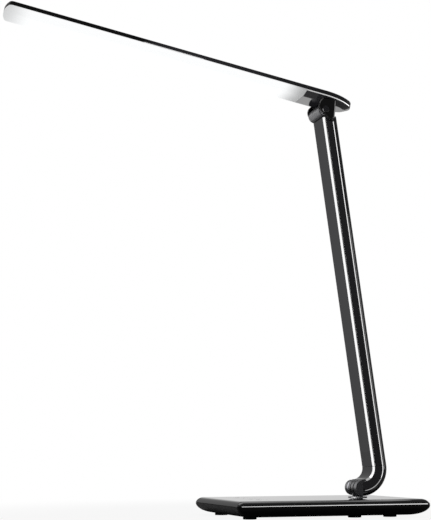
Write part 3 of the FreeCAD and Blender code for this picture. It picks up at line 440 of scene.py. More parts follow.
def loft(name, rings, place=Matrix(), closed=False):
    """A skin over rings of equal count, capped at both ends or closed on itself."""
    count = len(rings[0])
    points = [point for ring in rings for point in ring]
    faces = []
    for row in range(len(rings) if closed else len(rings) - 1):
        here = row * count
        there = (row + 1) % len(rings) * count
        for index in range(count):
            following = (index + 1) % count
            faces.append((here + index, here + following, there + following, there + index))
    if not closed:
        faces.append(tuple(range(count)))
        faces.append(tuple(range(len(points) - count, len(points))))
    return new_piece(name, points, faces, place)


def turned(name, profile, place=Matrix(), closed=True):
    """A piece turned about X from (along, radius) points; a closed profile leaves a bore."""
    rings = []
    for along, radius in profile:
        ring = []
        for step in range(TURN_STEPS):
            turn = FULL_TURN * step / TURN_STEPS
            ring.append(Vector((along, radius * math.cos(turn), radius * math.sin(turn))))
        rings.append(ring)
    return loft(name, rings, place, closed)


def rod(name, radius, start, end, place):
    """A round rod along X."""
    return turned(name, ((start, radius), (end, radius)), place, closed=False)


def prism(name, ring, low, high, place=Matrix(), lay=upright):
    """A straight run of one outline, upright or crosswise."""
    return loft(name, [lay(ring, level) for level in (low, high)], place)


def soft_prism(name, ring, low, high, edge, place=Matrix()):
    """An upright run of one outline with its two ends rounded off."""
    return loft(name, [upright(outline, level) for outline, level in soft_ends(ring, low, high, edge)], place)


def plain(piece):
    """Turns the piece's modifiers into its mesh."""
    graph = bpy.context.evaluated_depsgraph_get()
    mesh = bpy.data.meshes.new_from_object(piece.evaluated_get(graph), preserve_all_data_layers=True,
                                           depsgraph=graph)
    piece.modifiers.clear()
    spent = piece.data
    piece.data = mesh
    bpy.data.meshes.remove(spent)
    mesh.name = piece.name


def remove(piece):
    mesh = piece.data
    bpy.data.objects.remove(piece)
    bpy.data.meshes.remove(mesh)


def combined(piece, tool, operation):
    """Joins the tool to the piece or cuts it away, and removes the tool."""
    step = piece.modifiers.new("combine", "BOOLEAN")
    step.operation = operation
    step.solver = "EXACT"
    step.object = tool
    plain(piece)
    remove(tool)
    return piece


def joined(name, pieces):
    """One piece with the given name, made of several."""
    whole = pieces[0]
    for piece in pieces[1:]:
        combined(whole, piece, "UNION")
    whole.name = name
    return whole


def finished(piece, finish, body, slot, *nodes):
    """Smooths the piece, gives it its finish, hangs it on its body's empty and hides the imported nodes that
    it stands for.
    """
    piece.data.shade_smooth()
    piece.data.set_sharp_from_angle(angle=SHARP_ANGLE)
    normals = piece.modifiers.new("normals", "WEIGHTED_NORMAL")
    normals.weight = NORMAL_WEIGHT
    normals.keep_sharp = True
    plain(piece)
    piece.data.materials.clear()
    piece.data.materials.append(finish)
    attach(piece, body)
    if nodes:
        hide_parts(*nodes)
    return piece


# Finishes

def add(tree, kind, links=None, values=None, **options):
    """Adds a node with its settings, the values of its sockets and the links to them."""
    node = tree.nodes.new(kind)
    for option, value in options.items():
        setattr(node, option, value)
    for socket, value in (values or {}).items():
        node.inputs[socket].default_value = value
    for socket, source in (links or {}).items():
        tree.links.new(source, node.inputs[socket])
    return node


def new_finish(name):
    """A new material, its empty node tree and the place on the piece."""
    material = bpy.data.materials.new(name)
    material.use_nodes = True
    tree = material.node_tree
    tree.nodes.clear()
    return material, tree, add(tree, "ShaderNodeTexCoord").outputs["Object"]


def opaque(shade):
    return (*shade, 1.0)


def made(maker):
    """The finish that the maker makes, made once."""
    return bpy.data.materials.get(maker.__name__) or maker(maker.__name__)


def clouds(tree, place, size, detail, **values):
    """Cloudy noise with patches of about the given size."""
    values = {"Scale": 1 / size, "Detail": detail, **values}
    return add(tree, "ShaderNodeTexNoise", {"Vector": place}, values).outputs["Fac"]


def ranged(tree, value, start, end, low, high, **options):
    """The value's stretch from start to end, spread from low to high."""
    limits = {"From Min": start, "From Max": end, "To Min": low, "To Max": high}
    return add(tree, "ShaderNodeMapRange", {"Value": value}, limits, **options).outputs["Result"]


def roughened(tree, noise, low, high):
    """A roughness that follows the middle stretch of a noise."""
    return ranged(tree, noise, *NOISE_MIDDLE, low, high)


def worked(tree, operation, first, second):
    """Two values put together by a sum, a product or the like."""
    return add(tree, "ShaderNodeMath", {0: first, 1: second}, operation=operation).outputs["Value"]


def mixed(tree, factor, first, second):
    """A colour between two others."""
    node = add(tree, "ShaderNodeMix", {"Factor": factor}, data_type="RGBA")
    node.inputs[6].default_value = opaque(first)
    node.inputs[7].default_value = opaque(second)
    return node.outputs[2]


def bumped(tree, height, strength, depth):
    bump = add(tree, "ShaderNodeBump", {"Height": height}, {"Strength": strength, "Distance": depth})
    return bump.outputs["Normal"]


def coated(material, links, values):
    """Gives the material its shader."""
    body = add(material.node_tree, "ShaderNodeBsdfPrincipled", links, values)
    add(material.node_tree, "ShaderNodeOutputMaterial", {"Surface": body.outputs["BSDF"]})
    return material


def grained(name, shade, size, detail, low, high, ior):
    """A material of one colour whose roughness varies a little in patches."""
    material, tree, place = new_finish(name)
    noise = clouds(tree, place, size, detail)
    return coated(material, {"Roughness": roughened(tree, noise, low, high)},
                  {"Base Color": opaque(shade), "IOR": ior})


def polished_black_abs(name):
    """Moulded in a polished tool: deep black, clear reflections, slight ripple and a haze of handling."""
    material, tree, place = new_finish(name)
    haze = clouds(tree, place, HAZE_SIZE, 4.0, Roughness=0.6)
    dust = clouds(tree, place, DUST_SIZE, 2.0)
    specks = ranged(tree, dust, 0.68, 0.82, 0.0, 0.015)
    ripple = clouds(tree, place, RIPPLE_SIZE, 1.0)
    return coated(material,
                  {"Base Color": mixed(tree, specks, settings().colours.gloss, linear("#5c5c5e")),
                   "Roughness": ranged(tree, haze, 0.35, 0.75, 0.01, 0.035),
                   "Normal": bumped(tree, ripple, 0.08, RIPPLE_DEPTH)},
                  {"IOR": 1.5})


def sparked_black_abs(name):
    """Moulded in a spark-eroded tool: an even satin black with a fine grain."""
    material, tree, place = new_finish(name)
    grain = clouds(tree, place, SPARK_SIZE, 2.0)
    return coated(material,
                  {"Roughness": roughened(tree, grain, 0.36, 0.5),
                   "Normal": bumped(tree, grain, 0.4, SPARK_DEPTH)},
                  {"Base Color": opaque(settings().colours.satin), "IOR": 1.5, "Specular IOR Level": 0.15})


def turned_anodised_aluminium(name):
    """Turned on a lathe and anodised dark: a satin grey metal with fine rings around the hinge axis."""
    material, tree, place = new_finish(name)
    # Real tool marks are about 0.1 mm apart; RING_STEP is as fine as the render can show
    rings = add(tree, "ShaderNodeTexWave", {"Vector": place},
                {"Scale": 1 / RING_STEP / FULL_TURN, "Distortion": 0.6, "Detail": 2.0,
                 "Detail Scale": 1 / RING_WOBBLE}, bands_direction="X")
    mottle = clouds(tree, place, MOTTLE_SIZE, 3.0)
    return coated(material,
                  {"Roughness": roughened(tree, mottle, 0.32, 0.46),
                   "Normal": bumped(tree, rings.outputs["Fac"], 0.2, RING_DEPTH)},
                  {"Base Color": opaque(settings().colours.barrel), "Metallic": 1.0})


def plated_steel(name):
    """Zinc-plated steel: a bright grey metal with a soft, slightly patchy shine."""
    material, tree, place = new_finish(name)
    patch = clouds(tree, place, PATCH_SIZE, 4.0)
    return coated(material,
                  {"Base Color": mixed(tree, patch, settings().colours.steel, linear("#d0d0c9")),
                   "Roughness": roughened(tree, patch, 0.22, 0.4)},
                  {"Metallic": 1.0})


def moulded_rubber(name):
    """Moulded rubber: dull black, a little grey where dust clings to it."""
    material, tree, place = new_finish(name)
    dust = clouds(tree, place, RUBBER_SIZE, 5.0)
    cling = ranged(tree, dust, 0.45, 0.8, 0.0, 0.35)
    return coated(material,
                  {"Base Color": mixed(tree, cling, settings().colours.rubber, linear("#3a3a39")),
                   "Normal": bumped(tree, dust, 0.3, RUBBER_DEPTH)},
                  {"Roughness": 0.82, "IOR": 1.5})


def opal_acrylic(name):
    """Milky acrylic lit from behind: even white light that fades where the light board ends."""
    material, tree, place = new_finish(name)
    head = settings().head
    own = add(tree, "ShaderNodeMapping", {"Vector": place},
              {"Location": HEAD_AXIS, "Rotation": (-head.lean, 0.0, 0.0)}, vector_type="TEXTURE")
    along = add(tree, "ShaderNodeSeparateXYZ", {"Vector": own.outputs["Vector"]}).outputs["Y"]
    front = ranged(tree, along, -head.front - GLOW_PAST, -head.front + GLOW_FRONT_FADE, 0.6, 1.0,
                   interpolation_type="SMOOTHSTEP")
    rear = ranged(tree, along, -head.joint, -head.joint - GLOW_REAR_FADE, 0.35, 1.0,
                  interpolation_type="SMOOTHSTEP")
    both = worked(tree, "MULTIPLY", front, rear)
    grain = clouds(tree, place, OPAL_SIZE, 2.0)
    return coated(material,
                  {"Emission Color": mixed(tree, both, linear("#000000"), settings().colours.glow),
                   "Normal": bumped(tree, grain, 0.2, OPAL_DEPTH)},
                  {"Base Color": opaque(settings().colours.opal), "Roughness": 0.38, "IOR": 1.49,
                   "Emission Strength": 0.9})


def dark_acetal(name):
    """Machined acetal: waxy black-grey with a soft, slightly uneven sheen."""
    return grained(name, linear("#2a2a2b"), ACETAL_SIZE, 3.0, 0.3, 0.45, 1.48)


def green_circuit_board(name):
    """Glass-fibre board under green lacquer, with paler copper tracks showing through."""
    material, tree, place = new_finish(name)
    tracks = add(tree, "ShaderNodeTexBrick", {"Vector": place},
                 {"Scale": 1 / TRACK_STEP, "Mortar Size": 0.06, "Mortar Smooth": 0.2,
                  "Color1": opaque(linear("#14532d")), "Color2": opaque(linear("#17603a")),
                  "Mortar": opaque(linear("#3d8a52"))})
    return coated(material, {"Base Color": tracks.outputs["Color"]}, {"Roughness": 0.3, "IOR": 1.5})


def white_lacquered_board(name):
    """Aluminium light board under white solder lacquer: even white with a soft shine."""
    return grained(name, linear("#efefeb"), LACQUER_SIZE, 2.0, 0.25, 0.36, 1.5)


def phosphor_gel(name):
    """Light chips: pale yellow phosphor in clear gel, speckled."""
    material, tree, place = new_finish(name)
    specks = clouds(tree, place, PHOSPHOR_SIZE, 2.0)
    return coated(material, {"Base Color": mixed(tree, specks, linear("#e8cf5a"), linear("#f4e08a"))},
                  {"Roughness": 0.2, "IOR": 1.41})


def matt_white_frame(name):
    """Moulded white polyester that throws the light back: chalky, without gloss."""
    return grained(name, linear("#f0f0ec"), CHALK_SIZE, 3.0, 0.6, 0.75, 1.57)


def screen_printed_ink(name):
    """Pale grey ink printed on the touch strip: flat, with the fine unevenness of the printing screen."""
    return grained(name, settings().colours.symbol, SCREEN_SIZE, 1.0, 0.45, 0.6, 1.5)


def pale_studio_floor(name):
    """Matt pale sheet that takes the lamp's shadow and runs out to plain white far from it."""
    material, tree, place = new_finish(name)
    fibre = clouds(tree, place, FIBRE_SIZE, 2.0)
    sheet = add(tree, "ShaderNodeBsdfPrincipled", {"Roughness": roughened(tree, fibre, 0.85, 0.95)},
                {"Base Color": opaque(settings().colours.floor), "Specular IOR Level": 0.0})
    away = add(tree, "ShaderNodeVectorMath", {0: place}, operation="LENGTH")
    fade = ranged(tree, away.outputs["Value"], FLOOR_HALF * FLOOR_NEAR_SHARE, FLOOR_HALF,
                  FLOOR_WHITE_NEAR, 1.0, interpolation_type="SMOOTHSTEP")
    path = add(tree, "ShaderNodeLightPath")
    seen = worked(tree, "MULTIPLY", fade, path.outputs["Is Camera Ray"])
    white = add(tree, "ShaderNodeEmission", values={"Color": opaque(linear("#ffffff")), "Strength": 1.0})
    mix = add(tree, "ShaderNodeMixShader", {"Fac": seen, 1: sheet.outputs["BSDF"],
                                            2: white.outputs["Emission"]})
    add(tree, "ShaderNodeOutputMaterial", {"Surface": mix.outputs["Shader"]})
    return material


# Geometry Nodes

def new_tree(name, sizes):
    """A modifier tree with a shape to repeat, named sizes and a finish."""
    tree = bpy.data.node_groups.new(name, "GeometryNodeTree")
    tree.is_modifier = True
    tree.interface.new_socket("Geometry", in_out="OUTPUT", socket_type="NodeSocketGeometry")
    tree.interface.new_socket("Shape", in_out="INPUT", socket_type="NodeSocketGeometry")
    for size in sizes:
        tree.interface.new_socket(size, in_out="INPUT", socket_type="NodeSocketFloat")
    tree.interface.new_socket("Finish", in_out="INPUT", socket_type="NodeSocketMaterial")
    return tree, add(tree, "NodeGroupInput").outputs


def end_tree(tree, given, points, turn=None):
    """Puts the shape on the points, makes it real and gives it the finish."""
    links = {"Points": points, "Instance": given["Shape"]}
    if turn:
        links["Rotation"] = turn
    copies = add(tree, "GeometryNodeInstanceOnPoints", links)
    real = add(tree, "GeometryNodeRealizeInstances", {"Geometry": copies.outputs["Instances"]})
    coat = add(tree, "GeometryNodeSetMaterial", {"Geometry": real.outputs["Geometry"],
                                                 "Material": given["Finish"]})
    add(tree, "NodeGroupOutput", {"Geometry": coat.outputs["Geometry"]})


def repeated(piece, tree, finish, **sizes):
    """Runs the tree on the piece and turns the result into its mesh."""
    step = piece.modifiers.new("repeat", "NODES")
    step.node_group = tree
    given = {item.name: item.identifier for item in tree.interface.items_tree if item.in_out == "INPUT"}
    for size, value in sizes.items():
        step[given[size]] = value
    step[given["Finish"]] = finish
    plain(piece)
    return piece


def foot_rows_tree():
    """Pairs of feet in three rows across the base."""
    rows = ("Front", "Middle", "Rear")
    tree, given = new_tree("foot_rows", ("Side", "Height") + rows)
    far_side = add(tree, "ShaderNodeMath", {0: given["Side"]}, {1: -1.0}, operation="MULTIPLY")
    every = add(tree, "GeometryNodeJoinGeometry")
    for row in rows:
        start, end = [add(tree, "ShaderNodeCombineXYZ", {"X": across, "Y": given[row], "Z": given["Height"]})
                      for across in (given["Side"], far_side.outputs["Value"])]
        line = add(tree, "GeometryNodeMeshLine", {2: start.outputs["Vector"], 3: end.outputs["Vector"]},
                   {"Count": 2}, mode="END_POINTS")
        tree.links.new(line.outputs["Mesh"], every.inputs["Geometry"])
    end_tree(tree, given, every.outputs["Geometry"])
    return tree


def screw_grid_tree():
    """Screws at the corners of a rectangle."""
    tree, given = new_tree("screw_grid", ("Width", "Depth", "Height"))
    grid = add(tree, "GeometryNodeMeshGrid", {"Size X": given["Width"], "Size Y": given["Depth"]},
               {"Vertices X": 2, "Vertices Y": 2})
    lift = add(tree, "ShaderNodeCombineXYZ", {"Z": given["Height"]})
    moved = add(tree, "GeometryNodeTransform", {"Geometry": grid.outputs["Mesh"],
                                                "Translation": lift.outputs["Vector"]})
    end_tree(tree, given, moved.outputs["Geometry"])
    return tree


def ray_ring_tree():
    """Rays around the brightness symbol, each turned outwards."""
    tree, given = new_tree("ray_ring", ("Radius", "Across", "Along", "Height"))
    ring = add(tree, "GeometryNodeMeshCircle", {"Radius": given["Radius"]}, {"Vertices": SUN_RAYS})
    middle = add(tree, "ShaderNodeCombineXYZ", {"X": given["Across"], "Y": given["Along"],
                                                "Z": given["Height"]})
    moved = add(tree, "GeometryNodeTransform", {"Geometry": ring.outputs["Mesh"],
                                                "Translation": middle.outputs["Vector"]})
    number = add(tree, "GeometryNodeInputIndex")
    turn = add(tree, "ShaderNodeMath", {0: number.outputs["Index"]}, {1: FULL_TURN / SUN_RAYS},
               operation="MULTIPLY")
    spin = add(tree, "ShaderNodeCombineXYZ", {"Z": turn.outputs["Value"]})
    end_tree(tree, given, moved.outputs["Geometry"], spin.outputs["Vector"])
    return tree


# Base

def base_ring(inset, corner):
    return box_ring(BASE_TOP.x - inset, BASE_TOP.y - inset, corner)


def strip_ring(base, inset):
    radius = base.strip_half_depth / 2
    return box_ring(base.strip_half_width - inset, base.strip_half_depth - inset, radius - inset,
                    -base.strip_front)


def hull_rings(base, wall, low, high, edge):
    """Rings of the boat-shaped underside from its flat floor to the widest line."""
    rings = []
    for turn in evenly(0.0, QUARTER):
        inset = base.undercut * (1 - math.sin(turn)) + wall
        level = high - edge - (high - edge - low) * math.cos(turn)
        rings.append(upright(base_ring(inset, base.corner - wall), level))
    return rings


def shoulder_rings(base, wall, low, high, edge):
    """Rings of the rounded shoulder, which leans in from the widest line, up to the flat top."""
    rings = []
    for turn in evenly(SHOULDER_START, QUARTER):
        inset = base.shoulder * (1 - math.cos(turn) / math.cos(SHOULDER_START)) + wall
        rise = (math.sin(turn) - math.sin(SHOULDER_START)) / (1 - math.sin(SHOULDER_START))
        level = low + edge + (high - low - edge) * rise
        rings.append(upright(base_ring(inset, base.corner - wall), level))
    return rings


def upright_post(name, x, y, radius, low, high):
    place = Matrix.Translation((x, y, 0.0)) @ Matrix.Rotation(-QUARTER, 4, "Y")
    return rod(name, radius, low, high, place)


class LAMP_OT_base_covers(Operator):
    """Builds the two moulded covers of the base"""
    bl_idname = "lamp.base_covers"
    bl_label = "Base covers"

    def execute(self, context):
        base = settings().base
        ridge = BASE_RIDGE.z
        edge = base.edge
        top_of_lower = ridge - base.seam
        rings = hull_rings(base, 0.0, BASE_LOW.z, top_of_lower, edge)
        rings.append(upright(base_ring(edge, base.corner - edge), top_of_lower))
        rings.append(upright(base_ring(base.wall, base.corner - base.wall), top_of_lower))
        rings += reversed(hull_rings(base, base.wall, BASE_LOW.z + base.wall, top_of_lower, edge))
        lower = loft("base_lower_cover", rings)
        for side in (1, -1):
            for end in (1, -1):
                seat = upright_post("seat", side * base.screw_side, end * base.screw_reach,
                                    base.screw_head + edge, BASE_LOW.z - edge,
                                    BASE_LOW.z + base.screw_head_height)
                combined(lower, seat, "DIFFERENCE")
        mouth_place = (Matrix.Translation((0.0, BASE_TOP.y + edge, base.inlet_height))
                       @ Matrix.Rotation(-QUARTER, 4, "Z"))
        combined(lower, rod("mouth", base.inlet_radius, 0.0, base.inlet_depth, mouth_place), "DIFFERENCE")
        finished(lower, made(sparked_black_abs), "base", "black_satin", "base_bottom_cover")

        low_of_upper = ridge + base.seam
        rings = list(reversed(shoulder_rings(base, 0.0, low_of_upper, BASE_TOP.z, edge)))
        rings.append(upright(base_ring(edge, base.corner - edge), low_of_upper))
        rings.append(upright(base_ring(base.wall, base.corner - base.wall), low_of_upper))
        rings += shoulder_rings(base, base.wall, low_of_upper, BASE_TOP.z - base.wall, edge)
        upper = loft("base_upper_cover", rings)
        recess = prism("recess", strip_ring(base, 0.0), BASE_TOP.z - base.strip_thickness, BASE_TOP.z + edge)
        combined(upper, recess, "DIFFERENCE")
        bore = upright_post("bore", SWIVEL.x, SWIVEL.y, settings().neck.bush_radius,
                            BASE_TOP.z - base.wall - edge, BASE_TOP.z + edge)
        combined(upper, bore, "DIFFERENCE")
        finished(upper, made(polished_black_abs), "base", "black_gloss", "base_top_cover")
        return {"FINISHED"}


class LAMP_OT_base_fittings(Operator):
    """Builds the rubber feet and the screws under the base"""
    bl_idname = "lamp.base_fittings"
    bl_label = "Feet and screws"

    def execute(self, context):
        base = settings().base
        height = BASE_LOW.z
        edge = FOOT_EDGE
        profile = [(height, base.foot_radius)]
        for turn in evenly(0.0, QUARTER, CORNER_STEPS):
            profile.append((edge * (1 - math.sin(turn)), base.foot_radius - edge * (1 - math.cos(turn))))
        profile.append((0.0, base.foot_radius * FOOT_DIMPLE_SHARE))
        profile.append((edge, base.foot_radius * FOOT_DIMPLE_SHARE - edge))
        stand = Matrix.Rotation(-QUARTER, 4, "Y")
        feet = turned("rubber_feet_set", profile, stand, closed=False)
        repeated(feet, foot_rows_tree(), made(moulded_rubber), Side=base.foot_side, Front=-base.foot_front,
                 Middle=base.foot_middle, Rear=base.foot_rear, Height=0.0)
        finished(feet, made(moulded_rubber), "base", "rubber", "rubber_feet")

        neck = base.screw_head_height
        rim = base.edge
        profile = ((0.0, base.screw_head - rim), (rim, base.screw_head), (neck, base.screw_head),
                   (neck, base.screw_radius), (SCREW_END, base.screw_radius), (SCREW_END + rim, rim))
        screws = turned("base_screw_set", profile, stand, closed=False)
        for half_length, half_width in ((SLOT_HALF, SLOT_WIDTH / 2), (SLOT_WIDTH / 2, SLOT_HALF)):
            slot = prism("slot", box_ring(half_length, half_width, 0.0), -rim, SLOT_DEPTH)
            combined(screws, slot, "DIFFERENCE")
        repeated(screws, screw_grid_tree(), made(plated_steel), Width=2 * base.screw_side,
                 Depth=2 * base.screw_reach, Height=BASE_LOW.z + SCREW_SINK)
        finished(screws, made(plated_steel), "base", "steel", "base_screws")
        return {"FINISHED"}


def ink(name, ring, x, y, level):
    return prism(name, ring, -INK_SINK, INK_HEIGHT, Matrix.Translation((x, y, level)))


def arc_ring(radius, width, first, last):
    """A band along part of a circle."""
    middle = Vector((0.0, 0.0))
    return arc(middle, radius + width / 2, first, last) + arc(middle, radius - width / 2, last, first)


def ink_ring(name, radius, width, x, y, level):
    """A printed full ring."""
    rings = []
    for edge, height in ((1, -INK_SINK), (1, INK_HEIGHT), (-1, INK_HEIGHT), (-1, -INK_SINK)):
        circle = arc(Vector((x, y)), radius + edge * width / 2, 0.0, FULL_TURN)[:-1]
        rings.append(upright(circle, level + height))
    return loft(name, rings, closed=True)


class LAMP_OT_touch_strip(Operator):
    """Builds the touch strip of the base and its plain printed symbols"""
    bl_idname = "lamp.touch_strip"
    bl_label = "Touch strip"

    def execute(self, context):
        base = settings().base
        level = BASE_TOP.z
        outline = strip_ring(base, base.strip_gap)
        strip = soft_prism("touch_strip_plate", outline, level - base.strip_thickness, level, base.edge)
        finished(strip, made(polished_black_abs), "base", "black_gloss", "touch_panel")

        y = -base.strip_front
        bar = box_ring(SYMBOL_HALF, INK_WIDTH / 2, 0.0)
        post = box_ring(INK_WIDTH / 2, SYMBOL_HALF, 0.0)
        parts = [
            ink("power_arc", arc_ring(SYMBOL_HALF, INK_WIDTH, *POWER_ARC), -SYMBOL_FAR, y, level),
            ink("power_bar", box_ring(INK_WIDTH / 2, SYMBOL_HALF / 2, 0.0), -SYMBOL_FAR, y + POWER_BAR_RISE,
                level),
            ink("minus", bar, -SYMBOL_NEAR, y, level),
            ink("plus", bar, SYMBOL_NEAR, y, level),
            ink("plus_post", post, SYMBOL_NEAR, y, level),
            ink_ring("sun", SYMBOL_HALF / 2, INK_WIDTH, SYMBOL_FAR, y, level),
        ]
        ray = ink("sun_rays", box_ring(SUN_RAY_HALF, INK_WIDTH / 2, 0.0), 0.0, 0.0, 0.0)
        repeated(ray, ray_ring_tree(), made(screen_printed_ink), Radius=SYMBOL_HALF, Across=SYMBOL_FAR,
                 Along=y, Height=level)
        parts.append(ray)
        symbols = joined("touch_symbols", parts)
        finished(symbols, made(screen_printed_ink), "base", "white")
        return {"FINISHED"}


# Neck and lower hinge

class LAMP_OT_lower_hinge(Operator):
    """Builds the bush, the turning neck and the ribbed barrel of the lower hinge"""
    bl_idname = "lamp.lower_hinge"
    bl_label = "Lower hinge"

    def execute(self, context):
        neck = settings().neck
        arm = settings().arm
        edge = RIB_EDGE
        groove = neck.groove
        high = neck.barrel_radius
        low = high - groove
        half = neck.knuckle_half
        knuckle = rounded_ring((
            (-half, neck.pin_radius, 0.0), (half, neck.pin_radius, 0.0), (half, low, 0.0),
            (half - groove, high, edge), (groove, high, edge), (0.0, low, edge), (-groove, high, edge),
            (groove - half, high, edge), (-half, low, 0.0)))
        barrel = turned("neck_knuckle", knuckle, Matrix.Translation(PIVOT))
        shaft = upright_post("shaft", SWIVEL.x, SWIVEL.y, neck.neck_radius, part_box("swivel_neck")[0].z,
                             PIVOT.z - neck.pin_radius - groove)
        combined(barrel, shaft, "UNION")
        finished(barrel, made(turned_anodised_aluminium), "neck", "hinge_metal", "swivel_neck")

        inside = neck.collar_inside
        outside = neck.collar_outside
        bore = neck.pin_radius
        ring = rounded_ring(((inside, bore, 0.0), (outside, bore, 0.0), (outside, high, 0.0),
                             (inside + groove, high, edge), (inside, low, 0.0)))
        tongue_ring = rounded_ring((
            (low, -neck.tongue_below, 0.0), (neck.tongue_reach, -neck.tongue_below, 0.0),
            (neck.tongue_reach, neck.tongue_above, 0.0), (low, neck.tongue_above, 0.0)))
        shift = Vector((high - arm.seam, 0.0))
        behind_ring = [point + shift for point in box_ring(high, high * 2, 0.0)]
        place = Matrix.Translation(PIVOT)
        collars = []
        for side in (1, -1):
            collar = turned("collar", [(side * along, radius) for along, radius in ring], place)
            tongue = prism("tongue", tongue_ring, side * inside, side * outside, place, crosswise)
            cap = rod("cap", high, side * outside, side * arm.half_width, place)
            behind = prism("behind", behind_ring, 0.0, side * arm.depth, place, crosswise)
            combined(cap, behind, "DIFFERENCE")
            collars.append(joined("collar", [collar, tongue, cap]))
        pair = joined("hinge_collar_pair", collars)
        finished(pair, made(turned_anodised_aluminium), "arm", "hinge_metal", "hinge_collar_right",
                 "hinge_collar_left")

        stand = Matrix.Translation((SWIVEL.x, SWIVEL.y, BASE_TOP.z)) @ Matrix.Rotation(-QUARTER, 4, "Y")
        shaft_gap = neck.neck_radius + arm.seam
        profile = rounded_ring(((-neck.bush_length, shaft_gap, 0.0), (neck.flange, shaft_gap, edge),
                                (neck.flange, neck.flange_radius, edge), (0.0, neck.flange_radius, 0.0),
                                (0.0, neck.bush_radius, 0.0), (-neck.bush_length, neck.bush_radius, 0.0)))
        bush = turned("neck_bush", profile, stand)
        finished(bush, made(dark_acetal), "base", "bearing", "swivel_bush")
        return {"FINISHED"}


# Arm

def side_groove(arm, wide, back, sign):
    """Corners of the groove along one side of the arm, from front to back."""
    middle = back - arm.groove_back
    return [(sign * wide, middle - arm.groove_half, arm.groove_round),
            (sign * (wide - arm.groove_depth), middle, arm.groove_round),
            (sign * wide, middle + arm.groove_half, arm.groove_round)]


def front_facets(arm, wide, front):
    """Corners of the two facets of the arm's front, from the left side to the right side."""
    shares = ((-1, 0, 1), (-1, 1, 0), (1, 1, 0), (1, 0, 1))
    return [(sign * (wide - across * arm.facet), front + along * arm.facet, arm.facet_round)
            for sign, across, along in shares]


def foot_ring(arm, inset):
    """The arm's whole section as (across, distance from the bend's middle)."""
    wide = arm.half_width - inset
    near = arm.bend - arm.depth / 2 + inset
    back = arm.bend + arm.depth / 2
    far = back - inset
    right = side_groove(arm, wide, back, 1)
    left = side_groove(arm, wide, back, -1)
    return rounded_ring([*right, (wide, far, arm.back_round - inset), (-wide, far, arm.back_round - inset),
                         *reversed(left), *front_facets(arm, wide, near)])


def bent(arm, ring, turn):
    """The section turned about the bend's middle, in the arm's own frame."""
    middle = Vector((0.0, arm.bend * math.sin(arm.lean), arm.bend * math.cos(arm.lean)))
    return [middle + Vector((point.x, point.y * math.cos(turn), point.y * math.sin(turn))) for point in ring]


class LAMP_OT_arm(Operator):
    """Builds the arm's two long shells and its curved foot"""
    bl_idname = "lamp.arm"
    bl_label = "Arm"

    def execute(self, context):
        arm = settings().arm
        place = arm_place()
        wide = arm.half_width
        side = arm.bend * math.sin(arm.lean) + arm.bend
        front = side - arm.depth / 2
        back = side + arm.depth / 2
        low = arm.bend * math.cos(arm.lean) + arm.seam
        split = front + arm.cover
        inner = wide - arm.wall
        floor = back - arm.wall
        edge = arm.edge
        cover_back = split - arm.seam
        cover_ring = rounded_ring((
            (wide, cover_back, edge), (-wide, cover_back, edge), *front_facets(arm, wide, front)))
        cover = soft_prism("arm_front_panel", cover_ring, low, arm.top, edge, place)
        finished(cover, made(polished_black_abs), "arm", "black_gloss", "arm_front_cover")

        inside_round = arm.back_round - arm.wall
        lip = split + arm.seam
        channel = rounded_ring([
            (wide, lip, edge), *side_groove(arm, wide, back, 1), (wide, back, arm.back_round),
            (-wide, back, arm.back_round), *reversed(side_groove(arm, wide, back, -1)), (-wide, lip, edge),
            (-inner, lip, edge), (-inner, floor, inside_round), (inner, floor, inside_round),
            (inner, lip, edge)])
        shell = soft_prism("arm_back_shell", channel, low, arm.top, edge, place)
        finished(shell, made(polished_black_abs), "arm", "black_gloss", "arm_rear_shell")
        self.make_foot(arm, place)
        return {"FINISHED"}

    def make_foot(self, arm, place):
        """The hollow curved foot, with a round seat for the hinge's barrel and a slot for the neck."""
        neck = settings().neck
        turns = evenly(0.0, -QUARTER - arm.lean, BEND_STEPS)
        rings = [bent(arm, foot_ring(arm, 0.0), turn) for turn in turns]
        rings += [bent(arm, foot_ring(arm, arm.wall), turn) for turn in reversed(turns)]
        foot = loft("arm_foot", rings, place, closed=True)
        reach = arm.half_width - arm.wall + SEAT_PLAY
        seat = rod("seat", neck.barrel_radius + SEAT_GAP, -reach, reach, Matrix.Translation(PIVOT))
        combined(foot, seat, "DIFFERENCE")
        slot_ring = box_ring(neck.neck_radius + SLOT_GAP, NECK_SLOT, 0.0)
        slot = prism("slot", slot_ring, PIVOT.z - NECK_SLOT, PIVOT.z,
                     Matrix.Translation((PIVOT.x, PIVOT.y, 0.0)))
        combined(foot, slot, "DIFFERENCE")
        finished(foot, made(polished_black_abs), "arm", "black_gloss", "arm_elbow")


# Head

def head_ring(head, inset):
    """The head's plan: rounded tail, straight sides and a bowed front end with small corners."""
    half = head.half_width
    side = (head.tail ** 2 + half ** 2 - 2 * head.tail * head.tip) / (2 * (half - head.tip))
    start = head.rear - head.tail
    tip_middle = head.rear - head.tip
    meet = math.atan2(tip_middle - start, side - half)
    ring = arc(Vector((half - side, start)), side - inset, 0.0, meet)[:-1]
    ring += arc(Vector((0.0, tip_middle)), head.tip - inset, meet, QUARTER)
    mirrored = [Vector((-point.x, point.y)) for point in reversed(ring[:-1])]
    across = half - head.corner
    deep = math.sqrt((head.bow - head.corner) ** 2 - across ** 2)
    bow_middle = Vector((0.0, head.bow - head.front))
    side_end = bow_middle.y - deep
    spread = math.atan2(across, deep)
    down = 3 * QUARTER
    front = arc(Vector((-across, side_end)), head.corner - inset, math.pi, down - spread)
    front += arc(bow_middle, head.bow - inset, down - spread, down + spread)[1:-1]
    front += arc(Vector((across, side_end)), head.corner - inset, down + spread, FULL_TURN)
    wide = half - inset
    sides = evenly(side_end, start, SIDE_STEPS)[1:-1]
    left = [Vector((-wide, y)) for y in reversed(sides)]
    right = [Vector((wide, y)) for y in sides]
    return ring + mirrored + left + front + right


